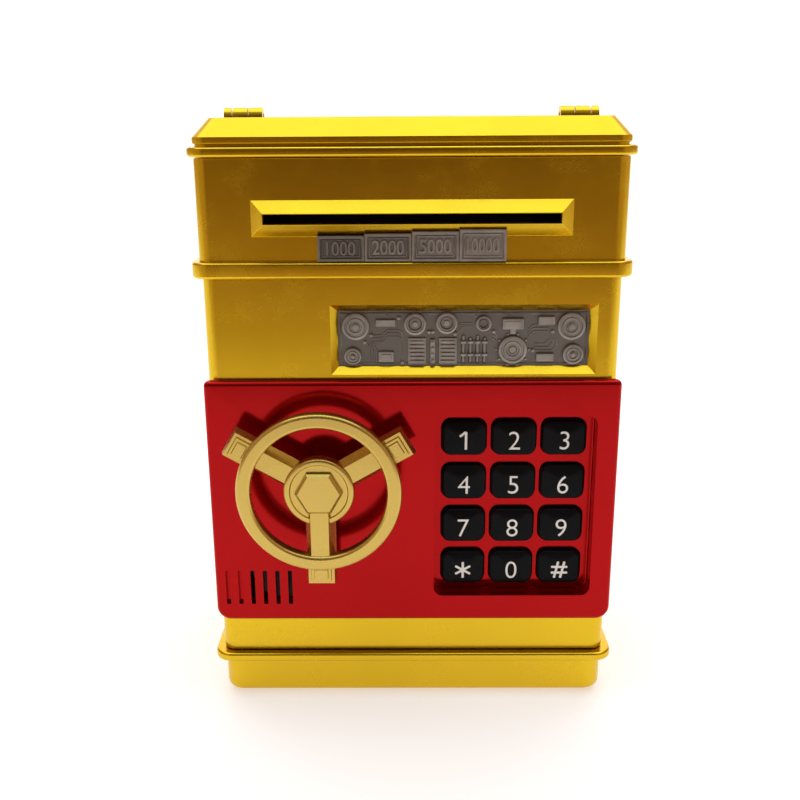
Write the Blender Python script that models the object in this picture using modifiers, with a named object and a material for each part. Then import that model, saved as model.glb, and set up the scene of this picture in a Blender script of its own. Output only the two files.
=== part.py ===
"""A toy safe coin bank: a moulded cabinet in courses, a sprung keypad and a handwheel on its door,
a sliding bolt, a fold-down handle, a note feed behind the note slot, and a battery box at the rear.

Metres, +Z up. The front faces -Y and +X is to the right of someone facing it. The origin is on the
plane that the feet stand on, at the middle of the whole bank's width and depth.
"""

import math

import bmesh
import bpy
from mathutils import Matrix, Vector

MM = 0.001
X, Y, Z = 0, 1, 2

# Fits, and gear teeth as shares of the pitch
GAP = 0.3 * MM
RUNNING = 0.3 * MM
TOOTH_TIP = 0.3
TOOTH_ROOT = 0.45
TOOTH_BASE_HALF = 0.26
TOOTH_TIP_HALF = 0.1

# Cabinet
BODY_WIDTH = 128.4 * MM
BODY_DEPTH = 100.6 * MM
BODY_HEIGHT = 126.1 * MM
WALL = 2.2 * MM
CORNER = 4.0 * MM
RIB_PROUD = 2.8 * MM
RIB_CORNER = 5.5 * MM
LIP_WALL = 1.4 * MM
SPIGOT_CORNER = 1.8 * MM
LEAST_CORNER = 0.5 * MM
LIP_DEPTH = 3.0 * MM

# Base
FOOT_PROUD = 1.0 * MM
FOOT_RADIUS = 5.0 * MM
FOOT_SEAT = 1.2 * MM
FOOT_EDGE = 0.6 * MM
FOOT_INSET_X = 14.0 * MM
FOOT_INSET_Y = 15.0 * MM
BASE_HEIGHT = 13.0 * MM
BASE_CORNER = 6.0 * MM
BASE_FILLET = 2.4 * MM
BASE_FLOOR = 2.4 * MM
LOW_RIB_HEIGHT = 3.0 * MM

# Head and cap
HIGH_RIB_HEIGHT = 5.0 * MM
HEAD_HEIGHT = 30.4 * MM
HEAD_PROUD = 0.6 * MM
FLANGE_HEIGHT = 2.9 * MM
FLANGE_PROUD = 2.4 * MM
GROOVE_HEIGHT = 0.8 * MM
CAP_PROUD = 0.7 * MM
FASCIA_HEIGHT = 2.0 * MM
CHAMFER_RISE = 5.4 * MM
CHAMFER_INSET = 4.6 * MM
CAP_TOP = 6.4 * MM

# Door, hung on two knuckles at its right edge
DOOR_LAP_SIDE = 0.8 * MM
DOOR_PROUD = 3.0 * MM
DOOR_PLATE = 2.7 * MM
DOOR_SILL = 12.5 * MM
DOOR_HEIGHT = 82.1 * MM
DOOR_FOOT_CORNER = 4.5 * MM
DOOR_HEAD_CORNER = 1.6 * MM
DOOR_FILLET = 1.4 * MM
OPENING_BORDER_Z = 4.0 * MM
OPENING_BORDER_LEFT = 8.2 * MM
OPENING_BORDER_RIGHT = 4.1 * MM
COLLAR_WALL = 1.6 * MM
COLLAR_DEPTH = 9.0 * MM
COLLAR_CLEAR = 0.7 * MM
BAY_DEPTH = 17.0 * MM
HINGE_INSET = 2.0 * MM
HINGE_DEPTH = 2.6 * MM
HINGE_RELIEF = 1.5 * MM
KNUCKLE_RADIUS = 1.9 * MM
KNUCKLE_HEIGHT = 8.0 * MM
KNUCKLE_INSET = 9.0 * MM
PIN_RADIUS = 0.9 * MM
PIN_GRIP = 4.0 * MM

# Note slot, its raised mouth, and the row of tiles below it
SLOT_WIDTH = 88.0 * MM
SLOT_HEIGHT = 3.0 * MM
SLOT_RISE = 17.9 * MM
MOUTH_BEVEL = 3.9 * MM
MOUTH_PROUD = 3.2 * MM
MOUTH_LAND = 0.3 * MM
TILE_WIDTH = 14.1 * MM
TILE_HEIGHT = 7.6 * MM
TILE_STEP = 0.6 * MM
TILE_PROUD = 1.6 * MM
TILE_FAN = 0.35 * MM
TILE_COUNT = 4

# Window with its relief plate
WINDOW_WIDTH = 77.1 * MM
WINDOW_HEIGHT = 17.0 * MM
WINDOW_BEVEL = 2.8 * MM
WINDOW_INSET = 9.8 * MM
WINDOW_RISE = 3.9 * MM
RELIEF_PLATE = 1.6 * MM
RELIEF_PROUD = 1.0 * MM
RELIEF_EDGE = 1.2 * MM

# Keypad
KEY_PITCH_X = 15.9 * MM
KEY_PITCH_Z = 15.0 * MM
KEY_HOLE_WIDTH = 14.8 * MM
KEY_HOLE_HEIGHT = 12.3 * MM
KEY_CORNER = 3.2 * MM
KEY_CLEAR = 0.35 * MM
KEY_PROUD = 3.0 * MM
KEY_TRAVEL = 1.2 * MM
KEY_FLANGE = 0.8 * MM
KEYPAD_INSET = 31.8 * MM
KEYPAD_RISE = 39.8 * MM
WELL_MARGIN_X = 2.3 * MM
WELL_MARGIN_Z = 2.25 * MM
WELL_DEPTH = 6.0 * MM
WELL_WALL = 1.2 * MM
WELL_CORNER = 3.0 * MM
KEY_CROWN = 1.0 * MM
KEY_FLANGE_GAP = 0.5 * MM
KEY_FLANGE_LAP = 0.7 * MM
MAT_CLEAR = 0.5 * MM
BOARD_CLEAR = 0.4 * MM
MAT_MARGIN = 0.6 * MM
MAT_CORNER = 2.0 * MM
BOARD_MARGIN = 0.5 * MM
KEY_PLATE = 1.6 * MM
MAT_THICKNESS = 1.0 * MM
BOARD_THICKNESS = 1.6 * MM
KEY_COLUMNS = 3
KEY_ROWS = 4
KEY_NAMES = (("1", "2", "3"), ("4", "5", "6"), ("7", "8", "9"), ("star", "0", "hash"))

# Handwheel
WHEEL_INSET = 35.4 * MM
WHEEL_RISE = 50.2 * MM
WHEEL_STANDOFF = 14.0 * MM
RIM_RADIUS = 25.5 * MM
RIM_BAND = 4.6 * MM
RIM_DEPTH = 5.0 * MM
HUB_RADIUS = 10.9 * MM
HUB_SET_BACK = 1.5 * MM
HEX_RADIUS = 7.4 * MM
SPOKE_WIDTH = 9.4 * MM
SPOKE_SET_BACK = 2.6 * MM
SPOKE_DEPTH = 3.4 * MM
SPOKE_SLOPE = 1.9 * MM
TAB_WIDTH = 9.6 * MM
TAB_REACH = 6.3 * MM
TAB_SET_BACK = 3.0 * MM
TAB_DEPTH = 3.4 * MM
TAB_SLOPE = 0.8 * MM
TAB_STEP = 1.3 * MM
PAD_PROUD = 0.9 * MM
HUB_CLEAR = 1.2 * MM
HUB_EDGE = 0.7 * MM
HUB_SKIRT = 1.0 * MM
HEX_BEVEL = 0.9 * MM
HEX_LAP = 0.5 * MM
RIM_EDGE = 1.1 * MM
SPOKE_RIM_LAP = 1.6 * MM
SPOKE_HUB_LAP = 3.4 * MM
SHAFT_RADIUS = 2.0 * MM
SHAFT_SOCKET = 7.0 * MM

# Lock: the pinion on the wheel's shaft drives a rack cut on the bolt
PINION_TEETH = 12
BOLT_TRAVEL = 6.0 * MM
WHEEL_TURN = math.radians(90.0)
BOLT_HEIGHT = 6.4 * MM
BOLT_THICKNESS = 4.0 * MM
BOLT_LENGTH = 42.0 * MM
BOLT_SET_BACK = 1.2 * MM
NOTCH_CLEAR = 0.6 * MM
BOLT_DEPTH = 3.6 * MM
BOLT_NOSE = 1.0 * MM
RACK_SIDE_TEETH = 7
RACK_END_TIP = 3.0 * MM
RACK_END_TAIL = 2.0 * MM
RAIL_INSET = 9.0 * MM
RAIL_PAST_PIN = 8.0 * MM
RAIL_DEPTH = 2.2 * MM
REST_LAP = 1.0 * MM
REST_DROP = 0.6 * MM
SHAFT_BOSS_WALL = 2.5 * MM
SHAFT_END_WALL = 1.8 * MM
SHAFT_END_SET_BACK = 2.0 * MM
PINION_SIDE_GAP = 0.2 * MM
LOCK_PIN_RADIUS = 1.5 * MM
LOCK_PIN_LIFT = 3.0 * MM
LOCK_PIN_OFFSET = 7.8 * MM
LOCK_PIN_DROP = 0.6 * MM
LOCK_PIN_DEPTH = 10.0 * MM
SOLENOID_WIDTH = 14.0 * MM
SOLENOID_HEIGHT = 13.0 * MM
SOLENOID_DROP = 6.0 * MM
SOLENOID_FRONT_INSET = 2.2 * MM
SOLENOID_BACK_INSET = 1.0 * MM
SOLENOID_CORNER = 1.0 * MM
KEEPER_HEIGHT = 18.0 * MM
KEEPER_BELOW_BOLT = 5.0 * MM
KEEPER_ROOM = 0.1 * MM
KEEPER_THICKNESS = 0.8 * MM
KEEPER_INSET = 1.6 * MM

# Vents and speaker
VENT_COUNT = 6
VENT_PITCH = 4.1 * MM
VENT_WIDTH = 1.4 * MM
VENT_HEIGHT = 12.0 * MM
VENT_INSET = 4.2 * MM
VENT_RISE = 6.0 * MM
VENT_DEPTH = 1.7 * MM
SPEAKER_RADIUS = 10.0 * MM
SPEAKER_DEPTH = 4.6 * MM

# Handle and coin slot in the cap
HANDLE_BACK = 30.0 * MM
LUG_OUTER = 59.3 * MM
LUG_CHEEK_OUTER = 2.3 * MM
LUG_KNUCKLE = 5.6 * MM
LUG_CHEEK_INNER = 4.3 * MM
LUG_RADIUS = 3.0 * MM
HANDLE_REACH = 46.0 * MM
HANDLE_BAR = 5.0 * MM
HANDLE_THICKNESS = 4.1 * MM
HANDLE_SINK = 0.6 * MM
HANDLE_CLEAR = 0.6 * MM
HANDLE_CORNER = 7.0 * MM
FINGER_WIDTH = 32.0 * MM
FINGER_REACH = 11.0 * MM
COIN_LENGTH = 32.0 * MM
COIN_WIDTH = 4.8 * MM
COIN_BACK = 14.0 * MM
COIN_CHUTE_WALL = 1.4 * MM
COIN_CHUTE_HEIGHT = 17.0 * MM

# Note feed
ROLLER_RADIUS = 5.2 * MM
ROLLER_NIP = 0.6 * MM
ROLLER_BACK = 14.6 * MM
ROLLER_HALF = 38.0 * MM
FEED_SHAFT_RADIUS = 1.5 * MM
CHEEK_SPAN = 47.0 * MM
CHEEK_PLATE = 1.8 * MM
GEAR_MODULE = 0.6 * MM
DRIVE_TEETH = 36
MOTOR_TEETH = 12
GEAR_FACE = 3.0 * MM
GEAR_BACKLASH = 0.1 * MM
GEAR_SIDE_GAP = 0.8 * MM
SHAFT_PAST_CHEEK = 1.0 * MM
FRAME_BAR_INSET = 5.6 * MM
FRAME_BAR_DEPTH = 4.0 * MM
FRAME_BAR_HEIGHT = 2.0 * MM
FRAME_BAR_LAP = 1.2 * MM
MOTOR_RADIUS = 8.0 * MM
MOTOR_LENGTH = 28.0 * MM
MOTOR_NECK_RADIUS = 3.0 * MM
MOTOR_SHAFT_RADIUS = 1.2 * MM
MOTOR_BEARING = math.radians(-60.0)
CHUTE_RADIUS = 22.0 * MM
CHUTE_SHEET = 1.2 * MM
CHUTE_BEHIND_MOTOR = 1.5 * MM
CHUTE_RISE = 5.0 * MM
CHUTE_DROP = 10.0 * MM

# Battery box in the rear wall
CELL_RADIUS = 7.1 * MM
CELL_LENGTH = 50.0 * MM
CELL_COUNT = 3
CELL_CLEAR = 1.0 * MM
CELL_END_ROOM = 1.7 * MM
CELL_NUB = 1.0 * MM
CELL_NUB_RADIUS = 2.6 * MM
BOX_WALL = 1.8 * MM
BOX_SILL = 16.5 * MM
COVER_LAP = 2.0 * MM
COVER_PLATE = 1.4 * MM
COVER_CORNER = 2.0 * MM
COVER_HINGE_RISE = 0.5 * MM

# Screws
BOSS_RADIUS = 3.4 * MM
BOSS_INSET = 6.4 * MM
BOSS_RISE = 9.0 * MM
BOSS_WEB_HALF = 1.2 * MM
BOSS_WEB_INSET = 0.4 * MM
SCREW_RADIUS = 1.3 * MM
SCREW_HEAD = 2.8 * MM
SCREW_HEAD_DEPTH = 1.2 * MM
SCREW_LENGTH = 14.0 * MM
DOOR_SCREW_LENGTH = 9.0 * MM
DOOR_SCREW_SEAT = 2.0 * MM
DOOR_SCREW_INSET = 3.2 * MM
DOOR_SCREW_RISE = 26.0 * MM
DOOR_POST_RADIUS = 3.0 * MM
SCREW_SEAT_WALL = 1.1 * MM

# Overlaps and overshoots, which don't show on the finished piece
SEAM = 0.02 * MM
OVERSHOOT = 1.0 * MM

# Places that follow from the sizes above
FRONT = (DOOR_PROUD + WHEEL_STANDOFF - BODY_DEPTH - RIB_PROUD) / 2
BACK = FRONT + BODY_DEPTH
SIDE = BODY_WIDTH / 2
BASE_TOP = FOOT_PROUD + BASE_HEIGHT + LOW_RIB_HEIGHT
BODY_LOW = BASE_TOP + GAP
BODY_TOP = BODY_LOW + BODY_HEIGHT
HEAD_LOW = BODY_TOP + GAP
HEAD_BAND = HEAD_LOW + HIGH_RIB_HEIGHT
HEAD_TOP = HEAD_BAND + HEAD_HEIGHT
HEAD_SIDE = SIDE + HEAD_PROUD
HEAD_FRONT = FRONT - HEAD_PROUD
HEAD_BACK = BACK + HEAD_PROUD
CAP_LOW = HEAD_TOP + GAP
FASCIA_LOW = CAP_LOW + FLANGE_HEIGHT + GROOVE_HEIGHT
TOP = FASCIA_LOW + FASCIA_HEIGHT + CHAMFER_RISE

DOOR_FRONT = FRONT - DOOR_PROUD
DOOR_BACK = DOOR_FRONT + DOOR_PLATE
DOOR_LOW = BODY_LOW + DOOR_SILL
DOOR_TOP = DOOR_LOW + DOOR_HEIGHT
DOOR_SIDE = SIDE + DOOR_LAP_SIDE
OPEN_LEFT = -SIDE + OPENING_BORDER_LEFT
OPEN_RIGHT = SIDE - OPENING_BORDER_RIGHT
OPEN_LOW = DOOR_LOW + OPENING_BORDER_Z
OPEN_TOP = DOOR_TOP - OPENING_BORDER_Z
COLLAR_LEFT = OPEN_LEFT + COLLAR_CLEAR + KEEPER_ROOM
COLLAR_RIGHT = OPEN_RIGHT - COLLAR_CLEAR
COLLAR_LOW = OPEN_LOW + COLLAR_CLEAR
COLLAR_TOP = OPEN_TOP - COLLAR_CLEAR
COLLAR_END = FRONT + COLLAR_DEPTH
BAY_END = FRONT + BAY_DEPTH
HINGE_X = SIDE - HINGE_INSET
HINGE_Y = FRONT + HINGE_DEPTH
HINGE_HEIGHTS = (
    OPEN_LOW + KNUCKLE_INSET,
    OPEN_TOP - KNUCKLE_INSET,
)

WHEEL_X = -SIDE + WHEEL_INSET
WHEEL_Z = DOOR_LOW + WHEEL_RISE
WHEEL_FRONT = DOOR_FRONT - WHEEL_STANDOFF
PITCH_RADIUS = BOLT_TRAVEL / WHEEL_TURN
RACK_PITCH = 2 * math.pi * PITCH_RADIUS / PINION_TEETH
PITCH_Z = WHEEL_Z - PITCH_RADIUS
BOLT_FRONT = FRONT + BOLT_DEPTH
BOLT_BACK = BOLT_FRONT + BOLT_THICKNESS
BOLT_ROOT = PITCH_Z - TOOTH_ROOT * RACK_PITCH
RACK_TIP = PITCH_Z + TOOTH_TIP * RACK_PITCH
BOLT_LOW = BOLT_ROOT - BOLT_HEIGHT
LOCK_PIN_X = WHEEL_X + LOCK_PIN_OFFSET

KEYPAD_X = SIDE - KEYPAD_INSET
KEYPAD_Z = DOOR_LOW + KEYPAD_RISE
WELL_WIDTH = (KEY_COLUMNS - 1) * KEY_PITCH_X + KEY_HOLE_WIDTH + 2 * WELL_MARGIN_X
WELL_HEIGHT = (KEY_ROWS - 1) * KEY_PITCH_Z + KEY_HOLE_HEIGHT + 2 * WELL_MARGIN_Z
WELL_FLOOR = DOOR_FRONT + WELL_DEPTH
KEY_FRONT = WELL_FLOOR - KEY_PROUD
KEY_PLATE_BACK = WELL_FLOOR + KEY_PLATE

SLOT_Z = HEAD_LOW + SLOT_RISE
WINDOW_LOW = DOOR_TOP + WINDOW_RISE
WINDOW_RIGHT = SIDE - WINDOW_INSET
WINDOW_LEFT = WINDOW_RIGHT - WINDOW_WIDTH

HANDLE_Y = FRONT + HANDLE_BACK
COIN_Y = HANDLE_Y + COIN_BACK

ROLLER_Y = HEAD_FRONT + ROLLER_BACK
ROLLER_RISE = ROLLER_RADIUS + ROLLER_NIP / 2
DRIVE_Z = SLOT_Z - ROLLER_RISE
PINCH_Z = SLOT_Z + ROLLER_RISE
GEAR_CENTRES = GEAR_MODULE * (DRIVE_TEETH + MOTOR_TEETH) / 2 + GEAR_BACKLASH
MOTOR_Y = ROLLER_Y + GEAR_CENTRES * math.cos(MOTOR_BEARING)
MOTOR_Z = DRIVE_Z + GEAR_CENTRES * math.sin(MOTOR_BEARING)
GEAR_X = CHEEK_SPAN + CHEEK_PLATE + GEAR_SIDE_GAP

BOX_INNER_X = CELL_LENGTH / 2 + CELL_END_ROOM
CELL_PITCH = 2 * CELL_RADIUS + CELL_CLEAR
BOX_LOW = BODY_LOW + BOX_SILL
BOX_INNER_LOW = BOX_LOW + BOX_WALL
BOX_INNER_TOP = BOX_INNER_LOW + CELL_COUNT * CELL_PITCH + CELL_CLEAR
BOX_TOP = BOX_INNER_TOP + BOX_WALL
BOX_BACK = BACK - WALL - GAP
CELL_Y = BOX_BACK - CELL_RADIUS - CELL_CLEAR
BOX_INNER_FRONT = CELL_Y - CELL_RADIUS - CELL_CLEAR
COVER_HINGE_Y = BACK + GAP + COVER_PLATE / 2
COVER_HINGE_Z = BOX_INNER_LOW - COVER_LAP + COVER_HINGE_RISE

for old in list(bpy.data.objects):
    bpy.data.objects.remove(old)

PARTS = bpy.data.collections.new("toy_safe_bank")
CUTTERS = bpy.data.collections.new("toy_safe_bank_cutters")
bpy.context.scene.collection.children.link(PARTS)
bpy.context.scene.collection.children.link(CUTTERS)

COLOURS = {
    "gold": ((0.62, 0.38, 0.03, 1.0), 0.25, 0.7),
    "red": ((0.42, 0.005, 0.008, 1.0), 0.22, 0.0),
    "black": ((0.012, 0.012, 0.013, 1.0), 0.4, 0.0),
    "gunmetal": ((0.18, 0.16, 0.15, 1.0), 0.35, 0.8),
    "steel": ((0.55, 0.56, 0.58, 1.0), 0.3, 1.0),
    "grey": ((0.3, 0.3, 0.31, 1.0), 0.5, 0.0),
    "rubber": ((0.03, 0.03, 0.032, 1.0), 0.85, 0.0),
    "white": ((0.8, 0.8, 0.78, 1.0), 0.4, 0.0),
    "green": ((0.03, 0.16, 0.07, 1.0), 0.45, 0.0),
}


# --- Materials, objects and placing -----------------------------------------------------------


def material_for(name, finish):
    """Each piece has a material of its own, so that one can be changed without the others."""
    colour, roughness, metallic = COLOURS[finish]
    made = bpy.data.materials.new(name)
    made.use_nodes = True
    shader = made.node_tree.nodes["Principled BSDF"]
    shader.inputs["Base Color"].default_value = colour
    shader.inputs["Roughness"].default_value = roughness
    shader.inputs["Metallic"].default_value = metallic
    return made


def object_from(bm, name):
    """A new object in the cutters' collection, until make_part moves it to the parts."""
    bmesh.ops.recalc_face_normals(bm, faces=bm.faces)
    mesh = bpy.data.meshes.new(name)
    bm.to_mesh(mesh)
    bm.free()
    made = bpy.data.objects.new(name, mesh)
    made.hide_render = True
    made.display_type = "WIRE"
    CUTTERS.objects.link(made)
    return made


def axis_empty(name, place):
    """The frame of a moving body, on its joint's axis."""
    made = bpy.data.objects.new(name, None)
    made.location = place
    made.empty_display_size = 0.01
    PARTS.objects.link(made)
    return made


def make_part(made, name, finish, origin=(0, 0, 0), parent=None):
    """Names an object as a sub-part, and moves its origin without moving its shape."""
    made.name = name
    made.data.name = name
    made.hide_render = False
    made.display_type = "TEXTURED"
    made.data.materials.clear()
    made.data.materials.append(material_for(name, finish))
    made.data.shade_smooth()
    made.data.set_sharp_from_angle(angle=math.radians(32))
    CUTTERS.objects.unlink(made)
    PARTS.objects.link(made)
    turned = made.matrix_basis.copy()
    place = Vector(origin)
    made.data.transform(Matrix.Translation(-place) @ turned)
    made.rotation_euler = (0, 0, 0)
    made.location = place
    if parent is not None:
        made.parent = parent
        made.location = place - parent.location
    return made


def combine(target, other, operation):
    modifier = target.modifiers.new(other.name, "BOOLEAN")
    modifier.operation = operation
    modifier.object = other
    modifier.solver = "EXACT"


def cut(target, *cutters):
    for cutter in cutters:
        combine(target, cutter, "DIFFERENCE")
    return target


def add(target, *others):
    for other in others:
        combine(target, other, "UNION")
    return target


# --- Shapes -----------------------------------------------------------------------------------


def block_mesh(low, high):
    bm = bmesh.new()
    bmesh.ops.create_cube(bm, size=1.0)
    size = Vector(high) - Vector(low)
    bmesh.ops.scale(bm, vec=size, verts=bm.verts)
    bmesh.ops.translate(bm, vec=(Vector(high) + Vector(low)) / 2, verts=bm.verts)
    return bm


def edges_along(bm, axis, keep=lambda middle: True):
    found = []
    for edge in bm.edges:
        first, second = (vert.co for vert in edge.verts)
        if abs((second - first).normalized()[axis]) > 0.99 and keep((first + second) / 2):
            found.append(edge)
    return found


def bevel(bm, edges, radius, segments):
    bmesh.ops.bevel(
        bm, geom=edges, offset=radius, segments=segments, profile=0.5, affect="EDGES"
    )


def rim_edges(bm, axis, level):
    """The edges that lie in the plane at this level of an axis."""
    return [
        edge
        for edge in bm.edges
        if all(abs(vert.co[axis] - level) < 1e-6 for vert in edge.verts)
    ]


def block(name, low, high, axis=None, radius=0.0, segments=4):
    """A box, with the four edges along one axis rounded if a radius is given."""
    bm = block_mesh(low, high)
    if axis is not None:
        bevel(bm, edges_along(bm, axis), radius, segments)
    return object_from(bm, name)


def tapered(name, low, high, axis, toward, inset, radius=0.0, segments=3):
    """A box whose face at one end of an axis is drawn in by the inset all round.
    A positive direction tapers the high end, a negative one the low end."""
    bm = block_mesh(low, high)
    if radius:
        bevel(bm, edges_along(bm, axis), radius, segments)
    level = high[axis] if toward > 0 else low[axis]
    centre = (Vector(high) + Vector(low)) / 2
    half = (Vector(high) - Vector(low)) / 2
    for vert in bm.verts:
        if abs(vert.co[axis] - level) > 1e-6:
            continue
        for other in {X, Y, Z} - {axis}:
            share = 1 - inset / half[other]
            vert.co[other] = centre[other] + (vert.co[other] - centre[other]) * share
    return object_from(bm, name)


def cylinder(name, centre, axis, radius, length, sides=24):
    bm = bmesh.new()
    bmesh.ops.create_cone(
        bm,
        cap_ends=True,
        segments=sides,
        radius1=radius,
        radius2=radius,
        depth=length,
    )
    turn = {X: Matrix.Rotation(math.pi / 2, 3, "Y"), Y: Matrix.Rotation(math.pi / 2, 3, "X")}
    if axis in turn:
        bmesh.ops.rotate(bm, cent=(0, 0, 0), matrix=turn[axis], verts=bm.verts)
    bmesh.ops.translate(bm, vec=centre, verts=bm.verts)
    return object_from(bm, name)


def turned(name, profile, centre, axis, steps=32):
    """A turned solid. The profile's points are (distance along the axis, radius), from the
    high end to the low end, and its first and last points are on the axis."""
    bm = bmesh.new()
    verts = [bm.verts.new((radius, 0, along)) for along, radius in profile]
    for first, second in zip(verts, verts[1:]):
        bm.edges.new((first, second))
    mesh = bpy.data.meshes.new(name)
    bm.to_mesh(mesh)
    bm.free()
    raw = bpy.data.objects.new(name, mesh)
    CUTTERS.objects.link(raw)
    screw = raw.modifiers.new("turn", "SCREW")
    screw.steps = steps
    screw.render_steps = steps
    screw.use_merge_vertices = True
    screw.merge_threshold = 0.00002
    screw.use_normal_calculate = True
    made = frozen(raw, name)
    turn = {X: Matrix.Rotation(math.pi / 2, 4, "Y"), Y: Matrix.Rotation(-math.pi / 2, 4, "X")}
    made.data.transform(Matrix.Translation(centre) @ turn.get(axis, Matrix.Identity(4)))
    return made


def frozen(raw, name):
    """The evaluated shape of an object or curve as a closed mesh, in place of the object."""
    bpy.context.view_layer.update()
    graph = bpy.context.evaluated_depsgraph_get()
    mesh = bpy.data.meshes.new_from_object(raw.evaluated_get(graph))
    matrix = raw.matrix_world.copy()
    bpy.data.objects.remove(raw)
    bm = bmesh.new()
    bm.from_mesh(mesh)
    bpy.data.meshes.remove(mesh)
    bmesh.ops.remove_doubles(bm, verts=bm.verts, dist=0.00001)
    bmesh.ops.transform(bm, matrix=matrix, verts=bm.verts)
    return object_from(bm, name)


def outline(name, loops, low, high, axis):
    """A flat outline with its holes, made thick between two levels of an axis. Points are
    (X, Y) for a piece that is thick along Z, (X, Z) along Y, and (Y, Z) along X."""
    curve = bpy.data.curves.new(name, "CURVE")
    curve.dimensions = "2D"
    curve.fill_mode = "BOTH"
    curve.extrude = (high - low) / 2
    for points in loops:
        spline = curve.splines.new("POLY")
        spline.points.add(len(points) - 1)
        for knot, (across, up) in zip(spline.points, points):
            knot.co = (across, up, 0, 1)
        spline.use_cyclic_u = True
    raw = bpy.data.objects.new(name, curve)
    middle = (high + low) / 2
    frames = {
        Z: Matrix.Identity(4),
        Y: Matrix.Rotation(math.pi / 2, 4, "X"),
        X: Matrix(((0, 0, 1, 0), (1, 0, 0, 0), (0, 1, 0, 0), (0, 0, 0, 1))),
    }
    shift = Vector((0, 0, 0))
    shift[axis] = middle
    raw.matrix_world = Matrix.Translation(shift) @ frames[axis]
    CUTTERS.objects.link(raw)
    return frozen(raw, name)


def arc(centre, radius, start, end, steps):
    """Points along an arc, angles in degrees."""
    found = []
    for step in range(steps + 1):
        angle = math.radians(start + (end - start) * step / steps)
        found.append((centre[0] + radius * math.cos(angle), centre[1] + radius * math.sin(angle)))
    return found


def gear_points(centre, teeth, pitch_radius, phase):
    """A gear's outline with slim straight-sided teeth. A tooth is centred on the phase angle."""
    pitch = 2 * math.pi * pitch_radius / teeth
    root = pitch_radius - TOOTH_ROOT * pitch
    tip = pitch_radius + TOOTH_TIP * pitch
    corners = (
        (root, -TOOTH_BASE_HALF),
        (tip, -TOOTH_TIP_HALF),
        (tip, TOOTH_TIP_HALF),
        (root, TOOTH_BASE_HALF),
    )
    points = []
    for tooth in range(teeth):
        middle = phase + 2 * math.pi * tooth / teeth
        for radius, share in corners:
            angle = middle + share * 2 * math.pi / teeth
            points.append(
                (centre[0] + radius * math.cos(angle), centre[1] + radius * math.sin(angle))
            )
    return points


def screw_part(name, point, axis, head_high, length, parent=None):
    """A screw whose head's outer face is at the point. head_high says that the head is at the
    high end of its axis."""
    way = -1 if head_high else 1
    head = [(0, SCREW_HEAD), (way * SCREW_HEAD_DEPTH, SCREW_HEAD)]
    shank = [(way * SCREW_HEAD_DEPTH, SCREW_RADIUS), (way * length, SCREW_RADIUS)]
    profile = [(0, 0)] + head + shank + [(way * length, 0)]
    if not head_high:
        profile.reverse()
    made = turned(name, profile, point, axis, steps=16)
    return make_part(made, name, "steel", origin=point, parent=parent)


# --- Cabinet ----------------------------------------------------------------------------------


def cavity(name, side, front, back, low, high, wall, corner):
    """The hollow inside a course of the cabinet, open above and below."""
    return block(
        name,
        (-side + wall, front + wall, low),
        (side - wall, back - wall, high),
        Z,
        max(corner - wall, LEAST_CORNER),
        3,
    )


def spigot(name, outer_side, front, back, low, high):
    """A thin ring that fits inside the hollow of the course below."""
    ring = block(name, (-outer_side, front, low), (outer_side, back, high), Z, SPIGOT_CORNER, 3)
    hollow = block(
        name + "_hollow",
        (-outer_side + LIP_WALL, front + LIP_WALL, low - OVERSHOOT),
        (outer_side - LIP_WALL, back - LIP_WALL, high + OVERSHOOT),
    )
    return cut(ring, hollow)


def corner_points(inset_x, inset_y):
    for x in (-SIDE + inset_x, SIDE - inset_x):
        for y in (FRONT + inset_y, BACK - inset_y):
            yield x, y


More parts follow.
